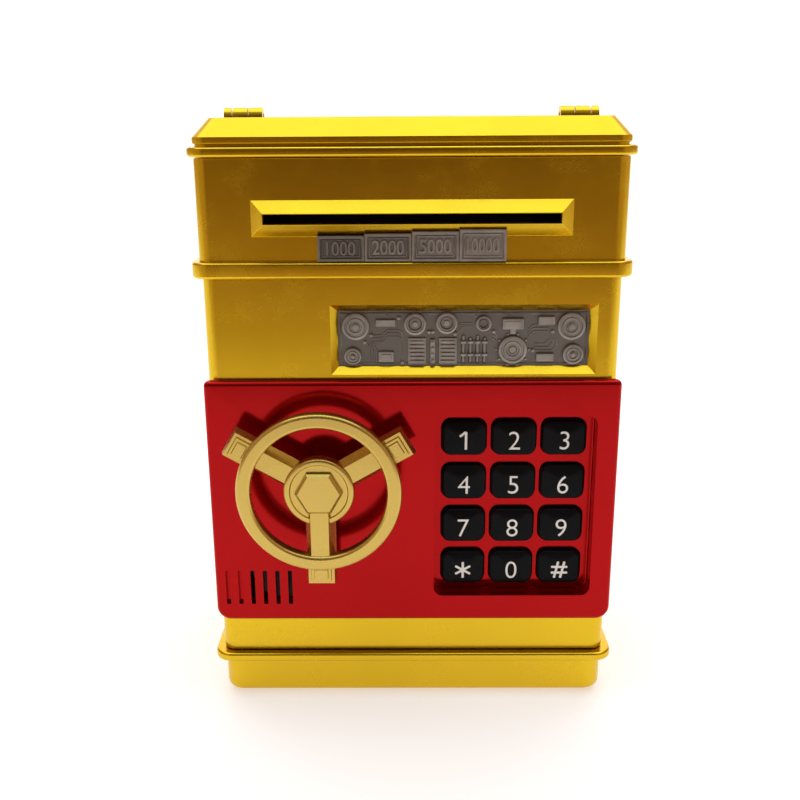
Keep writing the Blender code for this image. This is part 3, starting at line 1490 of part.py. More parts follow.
def make_lock(axis):
    middle_y = (BOLT_FRONT + BOLT_BACK) / 2
    rest_top = BOLT_LOW - LOCK_PIN_DROP
    body_top = BOLT_LOW - SOLENOID_DROP
    half = SOLENOID_WIDTH / 2
    coil = block(
        "solenoid",
        (LOCK_PIN_X - half, middle_y - half + SOLENOID_FRONT_INSET, body_top - SOLENOID_HEIGHT),
        (LOCK_PIN_X + half, middle_y + half - SOLENOID_BACK_INSET, body_top),
        Z,
        SOLENOID_CORNER,
        2,
    )
    bore = cylinder(
        "solenoid_bore",
        (LOCK_PIN_X, middle_y, body_top - 4 * MM),
        Z,
        LOCK_PIN_RADIUS + RUNNING,
        14 * MM,
        16,
    )
    cut(coil, bore)
    make_part(coil, "solenoid", "steel", origin=axis.location, parent=axis)
    pin_low = body_top - LOCK_PIN_DEPTH
    pin_axis = axis_empty("lock_pin_axis", (LOCK_PIN_X, middle_y, rest_top))
    pin = cylinder(
        "lock_pin",
        (LOCK_PIN_X, middle_y, (pin_low + rest_top) / 2),
        Z,
        LOCK_PIN_RADIUS,
        rest_top - pin_low,
        16,
    )
    place = (LOCK_PIN_X, middle_y, rest_top)
    make_part(pin, "lock_pin", "steel", origin=place, parent=pin_axis)
    make_bolt()


def make_bolt():
    """The bolt's outline: rack teeth along its top, two notches for the lock pin below."""
    tip = COLLAR_LEFT + BOLT_SET_BACK
    tail = tip + BOLT_LENGTH
    points = [(tip, BOLT_LOW + BOLT_NOSE), (tip + BOLT_NOSE, BOLT_LOW)]
    half = LOCK_PIN_RADIUS + NOTCH_CLEAR
    depth = LOCK_PIN_LIFT + NOTCH_CLEAR
    for centre in (LOCK_PIN_X, LOCK_PIN_X + BOLT_TRAVEL):
        points += [
            (centre - half, BOLT_LOW),
            (centre - half, BOLT_LOW + depth),
            (centre + half, BOLT_LOW + depth),
            (centre + half, BOLT_LOW),
        ]
    points += [(tail, BOLT_LOW), (tail, BOLT_ROOT)]
    for index in range(RACK_SIDE_TEETH, -RACK_SIDE_TEETH, -1):
        centre = WHEEL_X + (index - 0.5) * RACK_PITCH
        if tip + RACK_END_TIP < centre < tail - RACK_END_TAIL:
            points += [
                (centre + TOOTH_BASE_HALF * RACK_PITCH, BOLT_ROOT),
                (centre + TOOTH_TIP_HALF * RACK_PITCH, RACK_TIP),
                (centre - TOOTH_TIP_HALF * RACK_PITCH, RACK_TIP),
                (centre - TOOTH_BASE_HALF * RACK_PITCH, BOLT_ROOT),
            ]
    points.append((tip, BOLT_ROOT))
    bolt_axis = axis_empty("bolt_axis", (WHEEL_X, BOLT_FRONT, PITCH_Z))
    bolt = outline("lock_bolt", [points], BOLT_FRONT, BOLT_BACK, Y)
    place = (WHEEL_X, BOLT_FRONT, PITCH_Z)
    make_part(bolt, "lock_bolt", "steel", origin=place, parent=bolt_axis)
    keeper = block(
        "keeper_plate",
        (-SIDE + WALL + KEEPER_INSET, FRONT + WALL + GAP, BOLT_LOW - KEEPER_BELOW_BOLT),
        (
            OPEN_LEFT - GAP,
            FRONT + WALL + GAP + KEEPER_THICKNESS,
            BOLT_LOW - KEEPER_BELOW_BOLT + KEEPER_HEIGHT,
        ),
    )
    make_part(keeper, "keeper_plate", "steel")


# --- Handwheel --------------------------------------------------------------------------------


def make_wheel():
    centre = Vector((WHEEL_X, WHEEL_FRONT, WHEEL_Z))
    axis = axis_empty("wheel_axis", centre)
    rim = make_rim(centre)
    hub_front = HUB_SET_BACK
    hub_back = WHEEL_STANDOFF - HUB_CLEAR
    hub_profile = [
        (hub_back, 0),
        (hub_back, 0.62 * HUB_RADIUS),
        (RIM_DEPTH + HUB_SKIRT, 0.7 * HUB_RADIUS),
        (RIM_DEPTH, HUB_RADIUS),
        (hub_front + HUB_EDGE, HUB_RADIUS),
        (hub_front, HUB_RADIUS - HUB_EDGE),
        (hub_front, 0),
    ]
    hub = turned("wheel_hub", hub_profile, centre, Y, steps=32)
    hexagon = turned(
        "wheel_hexagon",
        [
            (hub_front + HEX_LAP, 0),
            (hub_front + HEX_LAP, HEX_RADIUS),
            (0, HEX_RADIUS - HEX_BEVEL),
            (0, 0),
        ],
        centre,
        Y,
        steps=6,
    )
    add(rim, hub, hexagon)
    for index, degrees in enumerate((90.0, 210.0, 330.0)):
        turn = Matrix.Rotation(math.radians(degrees - 90.0), 4, "Y")
        add_spoke(rim, index, centre, turn)
    socket = cylinder(
        "wheel_socket",
        (WHEEL_X, WHEEL_FRONT + WHEEL_STANDOFF - HUB_CLEAR - SHAFT_SOCKET / 2 + OVERSHOOT, WHEEL_Z),
        Y,
        SHAFT_RADIUS + GAP,
        SHAFT_SOCKET + 2 * OVERSHOOT,
        24,
    )
    cut(rim, socket)
    make_part(rim, "handwheel", "gold", origin=centre, parent=axis)
    make_wheel_shaft(axis)


def make_rim(centre):
    """The wheel's rim, a flat ring with rounded edges."""
    edge = RIM_EDGE
    outer = RIM_RADIUS
    inner = RIM_RADIUS - RIM_BAND
    profile = [
        (RIM_DEPTH, inner + edge),
        (RIM_DEPTH, outer - edge),
        (RIM_DEPTH - edge, outer),
        (edge, outer),
        (0, outer - edge),
        (0, inner + edge),
        (edge, inner),
        (RIM_DEPTH - edge, inner),
        (RIM_DEPTH, inner + edge),
    ]
    return turned("handwheel", profile, centre, Y, steps=48)


def add_spoke(rim, index, centre, turn):
    """A spoke with sloping sides and the stepped tab outside the rim, turned about the hub."""
    front = SPOKE_SET_BACK
    half = SPOKE_WIDTH / 2
    spoke = tapered(
        f"wheel_spoke_{index}",
        (-half, front, -RIM_RADIUS + SPOKE_RIM_LAP),
        (half, front + SPOKE_DEPTH, -HUB_RADIUS + SPOKE_HUB_LAP),
        Y,
        -1,
        SPOKE_SLOPE,
    )
    half_tab = TAB_WIDTH / 2
    tab_end = -RIM_RADIUS - TAB_REACH
    tab_start = -RIM_RADIUS + RIM_BAND / 2
    tab = tapered(
        f"wheel_tab_{index}",
        (-half_tab, TAB_SET_BACK, tab_end),
        (half_tab, TAB_SET_BACK + TAB_DEPTH, tab_start),
        Y,
        -1,
        TAB_SLOPE,
    )
    ledge = TAB_SLOPE + TAB_STEP
    pad = tapered(
        f"wheel_pad_{index}",
        (-half_tab + ledge, TAB_SET_BACK - PAD_PROUD, tab_end + ledge),
        (half_tab - ledge, TAB_SET_BACK + PAD_PROUD, tab_start - TAB_STEP),
        Y,
        -1,
        PAD_PROUD / 2,
    )
    for piece in (spoke, tab, pad):
        piece.data.transform(Matrix.Translation(centre) @ turn)
        add(rim, piece)


def make_wheel_shaft(axis):
    """The shaft from the hub to the door's back, with the pinion for the bolt's rack."""
    start = WHEEL_FRONT + WHEEL_STANDOFF - HUB_CLEAR - SHAFT_SOCKET + 2 * GAP
    end = BAY_END - COLLAR_WALL - GAP
    shaft = cylinder(
        "wheel_shaft", (WHEEL_X, (start + end) / 2, WHEEL_Z), Y, SHAFT_RADIUS, end - start, 24
    )
    teeth = gear_points((WHEEL_X, WHEEL_Z), PINION_TEETH, PITCH_RADIUS, -math.pi / 2)
    pinion = outline("wheel_pinion", [teeth], BOLT_FRONT + PINION_SIDE_GAP,
                      BOLT_BACK - PINION_SIDE_GAP, Y)
    add(shaft, pinion)
    make_part(shaft, "wheel_shaft", "white", origin=axis.location, parent=axis)


# --- Note feed --------------------------------------------------------------------------------


def make_roller_frame():
    """Two cheeks on a cross bar, which carry both rollers and the motor."""
    bar_low = PINCH_Z + ROLLER_RADIUS - FRAME_BAR_LAP
    bar_front = HEAD_FRONT + FRAME_BAR_INSET
    bar = block(
        "roller_frame",
        (-HEAD_SIDE + WALL + GAP, bar_front, bar_low),
        (HEAD_SIDE - WALL - GAP, bar_front + FRAME_BAR_DEPTH, bar_low + FRAME_BAR_HEIGHT),
    )
    cheek_top = bar_low + FRAME_BAR_HEIGHT - SEAM
    right = block(
        "cheek_right",
        (CHEEK_SPAN, bar_front - 0.05 * MM, MOTOR_Z - MOTOR_RADIUS),
        (CHEEK_SPAN + CHEEK_PLATE, MOTOR_Y + MOTOR_RADIUS, cheek_top),
    )
    left = block(
        "cheek_left",
        (-CHEEK_SPAN - CHEEK_PLATE, bar_front - 0.05 * MM, DRIVE_Z - ROLLER_RADIUS),
        (-CHEEK_SPAN, ROLLER_Y + ROLLER_RADIUS, cheek_top),
    )
    add(bar, right, left)
    bores = (
        ("drive_bore", ROLLER_Y, DRIVE_Z, FEED_SHAFT_RADIUS + RUNNING, 0.0, 120 * MM),
        ("pinch_bore", ROLLER_Y, PINCH_Z, FEED_SHAFT_RADIUS + RUNNING, 0.0, 120 * MM),
        ("motor_bore", MOTOR_Y, MOTOR_Z, MOTOR_NECK_RADIUS + GAP, CHEEK_SPAN, 8 * MM),
    )
    for name, y, z, radius, x, length in bores:
        cut(bar, cylinder(name, (x, y, z), X, radius, length, 20))
    make_part(bar, "roller_frame", "grey")


def make_rollers():
    reach = CHEEK_SPAN + CHEEK_PLATE + SHAFT_PAST_CHEEK
    drive_axis = axis_empty("drive_axis", (0, ROLLER_Y, DRIVE_Z))
    drive_end = GEAR_X + GEAR_FACE + SHAFT_PAST_CHEEK
    shaft = cylinder(
        "drive_shaft",
        ((drive_end - reach) / 2, ROLLER_Y, DRIVE_Z),
        X,
        FEED_SHAFT_RADIUS,
        drive_end + reach,
        16,
    )
    place = (0, ROLLER_Y, DRIVE_Z)
    make_part(shaft, "drive_shaft", "steel", origin=place, parent=drive_axis)
    tyre = cylinder("drive_tyre", place, X, ROLLER_RADIUS, 2 * ROLLER_HALF, 24)
    cut(tyre, cylinder("tyre_bore", place, X, FEED_SHAFT_RADIUS + GAP, 90 * MM, 16))
    make_part(tyre, "drive_tyre", "rubber", origin=place, parent=drive_axis)
    pitch_radius = GEAR_MODULE * DRIVE_TEETH / 2
    teeth = gear_points((ROLLER_Y, DRIVE_Z), DRIVE_TEETH, pitch_radius, MOTOR_BEARING)
    bore = arc((ROLLER_Y, DRIVE_Z), FEED_SHAFT_RADIUS + GAP, 0, 360, 16)[:-1]
    gear = outline("drive_gear", [teeth, bore], GEAR_X, GEAR_X + GEAR_FACE, X)
    make_part(gear, "drive_gear", "white", origin=place, parent=drive_axis)
    pinch_axis = axis_empty("pinch_axis", (0, ROLLER_Y, PINCH_Z))
    reach = GEAR_X - GAP
    profile = [
        (reach, 0),
        (reach, FEED_SHAFT_RADIUS),
        (ROLLER_HALF, FEED_SHAFT_RADIUS),
        (ROLLER_HALF, ROLLER_RADIUS),
        (-ROLLER_HALF, ROLLER_RADIUS),
        (-ROLLER_HALF, FEED_SHAFT_RADIUS),
        (-reach, FEED_SHAFT_RADIUS),
        (-reach, 0),
    ]
    place = (0, ROLLER_Y, PINCH_Z)
    pinch = turned("pinch_roller", profile, place, X, steps=20)
    make_part(pinch, "pinch_roller", "grey", origin=place, parent=pinch_axis)


def make_motor():
    place = (0, MOTOR_Y, MOTOR_Z)
    can_end = CHEEK_SPAN - GAP
    profile = [
        (can_end + CHEEK_PLATE / 2, 0),
        (can_end + CHEEK_PLATE / 2, MOTOR_NECK_RADIUS),
        (can_end, MOTOR_NECK_RADIUS),
        (can_end, MOTOR_RADIUS),
        (can_end - MOTOR_LENGTH, MOTOR_RADIUS),
        (can_end - MOTOR_LENGTH, 0),
    ]
    motor = turned("feed_motor", profile, place, X, steps=24)
    make_part(motor, "feed_motor", "steel", origin=place)
    pinion_axis = axis_empty("motor_pinion_axis", place)
    start = can_end + CHEEK_PLATE / 2 + GAP
    shaft = cylinder(
        "motor_pinion",
        ((start + GEAR_X + GEAR_FACE) / 2, MOTOR_Y, MOTOR_Z),
        X,
        MOTOR_SHAFT_RADIUS,
        GEAR_X + GEAR_FACE - start,
        16,
    )
    pitch_radius = GEAR_MODULE * MOTOR_TEETH / 2
    phase = MOTOR_BEARING + math.pi + math.pi / MOTOR_TEETH
    teeth = gear_points((MOTOR_Y, MOTOR_Z), MOTOR_TEETH, pitch_radius, phase)
    add(shaft, outline("motor_teeth", [teeth], GEAR_X, GEAR_X + GEAR_FACE - PINION_SIDE_GAP, X))
    make_part(shaft, "motor_pinion", "white", origin=place, parent=pinion_axis)


def make_note_chute():
    """A bent sheet that turns each note down into the vault."""
    centre = (MOTOR_Y + MOTOR_RADIUS + CHUTE_BEHIND_MOTOR, SLOT_Z + CHUTE_RISE - CHUTE_RADIUS)
    inner = CHUTE_RADIUS - CHUTE_SHEET
    drop = centre[1] - CHUTE_DROP
    outer_points = arc(centre, CHUTE_RADIUS, 90, 0, 10) + [(centre[0] + CHUTE_RADIUS, drop)]
    inner_points = [(centre[0] + inner, drop)] + arc(centre, inner, 0, 90, 10)
    reach = HEAD_SIDE - WALL - GAP
    narrow = SIDE - WALL - LIP_WALL - 3 * GAP
    half = min(reach, narrow)
    chute = outline("note_chute", [outer_points + inner_points], -half, half, X)
    make_part(chute, "note_chute", "black")


# --- Batteries --------------------------------------------------------------------------------


def make_battery_box():
    box = block(
        "battery_box",
        (-BOX_INNER_X - BOX_WALL, BOX_INNER_FRONT - BOX_WALL, BOX_LOW),
        (BOX_INNER_X + BOX_WALL, BOX_BACK, BOX_TOP),
    )
    hollow = block(
        "battery_hollow",
        (-BOX_INNER_X, BOX_INNER_FRONT, BOX_INNER_LOW),
        (BOX_INNER_X, BOX_BACK + 2 * OVERSHOOT, BOX_INNER_TOP),
    )
    cut(box, hollow)
    make_part(box, "battery_box", "black")
    for index in range(CELL_COUNT):
        z = BOX_INNER_LOW + CELL_CLEAR + CELL_RADIUS + index * CELL_PITCH
        end = CELL_LENGTH / 2
        way = 1 if index % 2 else -1
        profile = [(end, 0), (end, CELL_RADIUS), (-end, CELL_RADIUS), (-end, 0)]
        if way > 0:
            tip = end + CELL_NUB
            profile[0:1] = [(tip, 0), (tip, CELL_NUB_RADIUS), (end, CELL_NUB_RADIUS)]
        else:
            tip = -end - CELL_NUB
            profile[-1:] = [(-end, CELL_NUB_RADIUS), (tip, CELL_NUB_RADIUS), (tip, 0)]
        cell = turned(f"cell_{index + 1}", profile, (0, CELL_Y, z), X, steps=20)
        make_part(cell, f"cell_{index + 1}", "steel", origin=(0, CELL_Y, z))


def make_battery_cover():
    axis = axis_empty("battery_cover_axis", (0, COVER_HINGE_Y, COVER_HINGE_Z))
    lap = COVER_LAP
    plate = block(
        "battery_cover",
        (-BOX_INNER_X - lap, BACK + GAP, BOX_INNER_LOW - lap),
        (BOX_INNER_X + lap, BACK + GAP + COVER_PLATE, BOX_INNER_TOP + lap),
        Y,
        COVER_CORNER,
        3,
    )
    plug = block(
        "battery_plug",
        (-BOX_INNER_X + 2 * GAP, BACK - WALL + GAP, BOX_INNER_LOW + 2 * GAP),
        (BOX_INNER_X - 2 * GAP, BACK + GAP + 0.4 * MM, BOX_INNER_TOP - 2 * GAP),
        Y,
        COVER_CORNER,
        2,
    )
    add(plate, plug)
    make_part(plate, "battery_cover", "gold", origin=axis.location, parent=axis)


def main():
    make_base()
    make_body_shell()
    make_vault_floor()
    make_head()
    make_note_tiles()
    make_relief_plate()
    make_cap()
    make_handle()
    make_coin_chute()
    door_axis = axis_empty("door_axis", (HINGE_X, HINGE_Y, DOOR_LOW))
    make_door(door_axis)
    make_door_back(door_axis)
    make_keypad(door_axis)
    make_speaker(door_axis)
    make_lock(door_axis)
    make_wheel()
    make_roller_frame()
    make_rollers()
    make_motor()
    make_note_chute()
    make_battery_box()
    make_battery_cover()


main()
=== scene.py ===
"""Toy safe coin bank: the looks of each piece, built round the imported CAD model."""

import math

import bmesh
import bpy
from mathutils import Matrix, Vector


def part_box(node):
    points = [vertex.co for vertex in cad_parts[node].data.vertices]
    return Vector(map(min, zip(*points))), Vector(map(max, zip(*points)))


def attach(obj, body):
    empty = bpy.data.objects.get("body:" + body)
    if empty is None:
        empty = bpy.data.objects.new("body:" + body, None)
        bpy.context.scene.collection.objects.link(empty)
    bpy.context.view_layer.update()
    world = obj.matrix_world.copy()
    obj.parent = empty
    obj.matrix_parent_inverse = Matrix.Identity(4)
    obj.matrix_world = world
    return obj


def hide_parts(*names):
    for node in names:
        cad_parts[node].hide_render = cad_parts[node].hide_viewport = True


bl_info = {
    "name": "Toy Safe Coin Bank",
    "version": (1, 0, 0),
    "blender": (4, 5, 0),
    "location": "View3D > Sidebar > Coin Bank",
    "description": "Builds the visual pieces of a toy safe coin bank round its CAD model",
    "category": "Object",
}

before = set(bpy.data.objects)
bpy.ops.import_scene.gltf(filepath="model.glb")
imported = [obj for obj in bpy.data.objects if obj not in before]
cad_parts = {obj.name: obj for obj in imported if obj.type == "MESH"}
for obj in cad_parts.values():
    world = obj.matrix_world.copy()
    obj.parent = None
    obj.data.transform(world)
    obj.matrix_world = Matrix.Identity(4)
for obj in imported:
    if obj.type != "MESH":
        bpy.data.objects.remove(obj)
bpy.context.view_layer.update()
MM = 0.001
X, Y, Z = 0, 1, 2
GAP = 0.3 * MM

for cad_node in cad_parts.values():
    cad_node.select_set(False)


# --- Places, taken from the CAD nodes ---------------------------------------------------------

RIB_PROUD = 2.8 * MM
WALL = 2.2 * MM
BASE_LOW, BASE_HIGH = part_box("base_tray")
SHELL_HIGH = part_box("body_shell")[1]
HEAD_LOW, HEAD_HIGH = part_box("head_shell")
CAP_LOW, CAP_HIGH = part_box("cap")
DOOR_LOW, DOOR_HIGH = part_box("door_shell")
WHEEL_LOW, WHEEL_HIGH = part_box("handwheel")
BACK_LOW, BACK_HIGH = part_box("door_back")
RELIEF_LOW, RELIEF_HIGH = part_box("relief_plate")
TILES_LOW, TILES_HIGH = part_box("note_tiles")
HANDLE_LOW, HANDLE_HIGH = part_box("handle")
COVER_LOW, COVER_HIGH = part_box("battery_cover")
FRONT = BASE_LOW.y + RIB_PROUD
REAR = BASE_HIGH.y - RIB_PROUD
SIDE = SHELL_HIGH.x
BODY_LOW = BASE_HIGH.z + GAP
BODY_TOP = SHELL_HIGH.z


def length_property(name, description, millimetres):
    return bpy.props.FloatProperty(
        name=name,
        description=description,
        default=millimetres * MM,
        unit="LENGTH",
    )


class BankSizes(bpy.types.PropertyGroup):
    """Sizes that change the look without moving a part."""

    body_corner: length_property("Body corner", "Radius of the cabinet's upright corners", 4.0)
    rib_corner: length_property("Rib corner", "Radius of the ribs' corners", 5.6)
    rib_edge: length_property("Rib edge", "Rounding of the ribs' upper and lower edges", 0.9)
    soft_edge: length_property("Soft edge", "Rounding of a moulding's sharp edges", 0.28)
    metal_edge: length_property("Metal edge", "Rounding of the small inner pieces' edges", 0.12)
    numeral_height: length_property("Numeral height", "Height of the keys' numerals", 6.0)
    tile_numeral_height: length_property(
        "Tile numeral height", "Height of the tiles' numerals", 4.3
    )
    key_crown: length_property("Key crown", "How far a key's middle stands above its edge", 0.5)
    lens: bpy.props.FloatProperty(
        name="Lens",
        description="Focal length of the camera",
        default=44.1,
        unit="CAMERA",
    )


def colour_property(name, description, value):
    return bpy.props.FloatVectorProperty(
        name=name,
        description=description,
        default=value,
        size=4,
        min=0.0,
        max=1.0,
        subtype="COLOR",
    )


class BankColours(bpy.types.PropertyGroup):
    """Colours of the finishes."""

    gold: colour_property("Gold", "Cabinet's gold lacquer", (0.72, 0.47, 0.018, 1))
    wheel_gold: colour_property("Wheel gold", "Handwheel's gold", (0.6, 0.42, 0.1, 1))
    red: colour_property("Red", "Door's red plastic", (0.4, 0.004, 0.005, 1))
    key: colour_property("Key", "Keys' black plastic", (0.006, 0.006, 0.007, 1))
    numeral: colour_property("Numeral", "Printed numerals", (0.86, 0.86, 0.84, 1))
    relief: colour_property("Relief", "Dark silver relief", (0.36, 0.34, 0.31, 1))
    # Painted shade: the colour the hollows of the relief and tiles are darkened to, standing in for
    # shade
    relief_shade: colour_property("Relief shade", "Hollows of the relief", (0.02, 0.018, 0.016, 1))
    steel: colour_property("Steel", "Bright steel", (0.56, 0.57, 0.59, 1))
    rubber: colour_property("Rubber", "Black rubber", (0.018, 0.018, 0.019, 1))
    nylon: colour_property("Nylon", "White nylon", (0.74, 0.73, 0.68, 1))
    black: colour_property("Black", "Inner black plastic", (0.014, 0.014, 0.015, 1))
    grey: colour_property("Grey", "Inner grey plastic", (0.2, 0.2, 0.21, 1))
    board: colour_property("Board", "Circuit board", (0.012, 0.11, 0.035, 1))
    cell: colour_property("Cell", "Cells' sleeve", (0.02, 0.05, 0.16, 1))
    floor: colour_property("Floor", "Studio floor", (0.86, 0.86, 0.86, 1))


def sizes():
    return bpy.context.scene.bank_sizes


def colours():
    return bpy.context.scene.bank_colours


# --- Shader graphs ----------------------------------------------------------------------------


class Wire:
    """A socket on a graph. Sums and products of wires add the Math nodes that work them out."""

    def __init__(self, graph, socket):
        self.graph = graph
        self.socket = socket

    def maths(self, operation, first, second):
        return self.graph.node("ShaderNodeMath", {"operation": operation}, {0: first, 1: second})

    def __add__(self, other):
        return self.maths("ADD", self, other)

    __radd__ = __add__

    def __sub__(self, other):
        return self.maths("SUBTRACT", self, other)

    def __rsub__(self, other):
        return self.maths("SUBTRACT", other, self)

    def __mul__(self, other):
        return self.maths("MULTIPLY", self, other)

    __rmul__ = __mul__

    def magnitude(self):
        return self.maths("ABSOLUTE", self, 0.0)

    def span(self, low, high):
        """0 at low, 1 at high, and straight between them."""
        values = {"Value": self, "From Min": low, "From Max": high}
        return self.graph.node("ShaderNodeMapRange", None, values)

    def between(self, low, high):
        """0 below low, 1 above high, and smooth between them."""
        return self.graph.node(
            "ShaderNodeMapRange",
            {"interpolation_type": "SMOOTHSTEP"},
            {"Value": self, "From Min": low, "From Max": high},
        )


class Graph:
    """The node tree of one material or world, with its surface shader."""

    def __init__(self, owner, shader="Principled BSDF", coordinates="Object"):
        self.owner = owner
        owner.use_nodes = True
        self.tree = owner.node_tree
        self.shader = self.tree.nodes[shader]
        self.place = self.node("ShaderNodeTexCoord", output=coordinates)

    def node(self, kind, settings=None, values=None, output=0):
        made = self.tree.nodes.new(kind)
        for key, value in (settings or {}).items():
            if key == "stops":
                self.set_stops(made.color_ramp, value)
            else:
                setattr(made, key, value)
        for key, value in (values or {}).items():
            self.feed(made.inputs[key], value)
        return Wire(self, made.outputs[output])

    def feed(self, socket, value):
        if isinstance(value, Wire):
            self.tree.links.new(value.socket, socket)
        else:
            socket.default_value = value

    def set_stops(self, ramp, stops):
        while len(ramp.elements) < len(stops):
            ramp.elements.new(0.5)
        for element, (position, colour) in zip(ramp.elements, stops):
            element.position = position
            element.color = colour

    def finish(self, **values):
        """Sets or feeds the shader's sockets, named with _ for each space."""
        for key, value in values.items():
            self.feed(self.shader.inputs[key.replace("_", " ")], value)
        return self.owner

    def noise(self, scale, detail=3.0, roughness=0.5, place=None):
        values = {
            "Vector": place or self.place,
            "Scale": scale,
            "Detail": detail,
            "Roughness": roughness,
        }
        return self.node("ShaderNodeTexNoise", None, values)

    def mixed(self, share, first, second):
        return self.node(
            "ShaderNodeMix",
            {"data_type": "RGBA"},
            {0: share, 6: first, 7: second},
            output=2,
        )

    def stretched(self, scale):
        return self.node("ShaderNodeMapping", None, {"Vector": self.place, "Scale": scale})

    def bump(self, height, distance, strength=1.0):
        values = {"Height": height, "Distance": distance, "Strength": strength}
        return self.node("ShaderNodeBump", None, values)

    def axis(self, name):
        return self.node("ShaderNodeSeparateXYZ", None, {0: self.place}, output=name)


def new_graph(name):
    return Graph(bpy.data.materials.new(name))


def shaded(colour, share):
    return tuple(value * share for value in colour[:3]) + (1.0,)


def lacquer(name, colour, roughness, metallic, coat, specular=0.5):
    """A lacquered or glossy moulding: faint mottling, handling marks and a slight orange peel."""
    graph = new_graph(name)
    mottle = graph.noise(26.0, 4.0, 0.55).between(0.3, 0.7)
    marks = graph.noise(70.0, 5.0, 0.6).between(0.46, 0.75)
    specks = graph.noise(1500.0, 1.0).between(0.8, 0.84)
    peel = graph.noise(420.0, 2.0)
    tone = graph.mixed(mottle, shaded(colour, 0.94), colour)
    tone = graph.mixed(specks * 0.25, tone, shaded(colour, 0.75))
    return graph.finish(
        Base_Color=tone,
        Roughness=roughness + marks * 0.05 + mottle * 0.02,
        Metallic=metallic,
        Specular_IOR_Level=specular,
        Coat_Weight=coat,
        Coat_Roughness=0.05,
        Normal=graph.bump(peel, 0.008 * MM, 0.35),
    )


def relief_metal(name, face, depth):
    """Dark silver with painted shade in the hollows: the tone follows the distance behind the face.
    """
    graph = new_graph(name)
    hues = colours()
    # Painted shade: 0 deep behind the face and 1 at the face, so the hollows come out darker
    height = graph.axis("Y").between(face + depth, face)
    grain = graph.noise(900.0, 4.0, 0.6)
    stains = graph.noise(170.0, 4.0, 0.6).between(0.35, 0.7)
    # Painted shade: darker the deeper a point lies behind the face
    tone = graph.mixed(height, tuple(hues.relief_shade), tuple(hues.relief))
    tone = graph.mixed(stains * 0.45, tone, shaded(hues.relief, 0.45))
    return graph.finish(
        Base_Color=tone,
        Roughness=0.3 + grain * 0.2,
        Metallic=0.75,
        Normal=graph.bump(grain, 0.05 * MM, 0.5),
    )


def brushed(name, colour, roughness, direction):
    """Drawn or brushed metal, with fine streaks along one direction."""
    graph = new_graph(name)
    scale = [1400.0, 1400.0, 1400.0]
    scale[direction] = 60.0
    streaks = graph.noise(1.0, 3.0, 0.6, graph.stretched(scale))
    patches = graph.noise(120.0, 3.0).between(0.3, 0.7)
    tone = graph.mixed(streaks, shaded(colour, 0.72), colour)
    return graph.finish(
        Base_Color=tone,
        Roughness=roughness + streaks * 0.15 + patches * 0.06,
        Metallic=1.0,
        Normal=graph.bump(streaks, 0.012 * MM, 0.4),
    )


def matt(name, colour, roughness=0.55, grain_size=1500.0, depth=0.05 * MM):
    """Spark-textured plastic or rubber, with a little dust."""
    graph = new_graph(name)
    grain = graph.noise(grain_size, 3.0, 0.65)
    dust = graph.noise(90.0, 5.0, 0.65).between(0.45, 0.85)
    pale = tuple(min(1.0, value + 0.05) for value in colour[:3]) + (1.0,)
    tone = graph.mixed(dust * 0.4, tuple(colour), pale)
    return graph.finish(
        Base_Color=tone,
        Roughness=roughness + grain * 0.15,
        Normal=graph.bump(grain, depth, 0.6),
    )


def circuit(name):
    """Green board with paler tracks on a grid and round solder pads."""
    graph = new_graph(name)
    green = tuple(colours().board)
    cells = graph.node(
        "ShaderNodeTexVoronoi",
        {"distance": "MANHATTAN", "feature": "DISTANCE_TO_EDGE"},
        {"Vector": graph.place, "Scale": 210.0},
    )
    tracks = 1 - cells.between(0.03, 0.07)
    pads = graph.node("ShaderNodeTexVoronoi", None, {"Vector": graph.place, "Scale": 330.0})
    solder = 1 - pads.between(0.16, 0.2)
    tone = graph.mixed(tracks, green, (0.04, 0.3, 0.1, 1.0))
    tone = graph.mixed(solder, tone, (0.6, 0.6, 0.58, 1.0))
    return graph.finish(
        Base_Color=tone,
        Roughness=0.32 + tracks * 0.12,
        Metallic=solder * 0.8,
        Normal=graph.bump(tracks, 0.04 * MM, 0.5),
    )


def sleeve(name, low, high):
    """A printed cell sleeve: two bands of colour round bright steel ends."""
    graph = new_graph(name)
    along = graph.axis("X")
    body = along.between(low + 1.2 * MM, low + 1.3 * MM)
    body = body * (1 - along.between(high - 2.4 * MM, high - 2.3 * MM))
    band = along.between(low + 0.68 * (high - low), low + 0.69 * (high - low))
    scuffs = graph.noise(260.0, 4.0).between(0.4, 0.8)
    colour = graph.mixed(band, tuple(colours().cell), (0.75, 0.4, 0.03, 1.0))
    tone = graph.mixed(body, tuple(colours().steel), colour)
    return graph.finish(
        Base_Color=tone,
        Metallic=1 - body * 0.85,
        Roughness=0.22 + scuffs * 0.16,
        Normal=graph.bump(scuffs, 0.02 * MM, 0.4),
    )


MATERIALS = {}


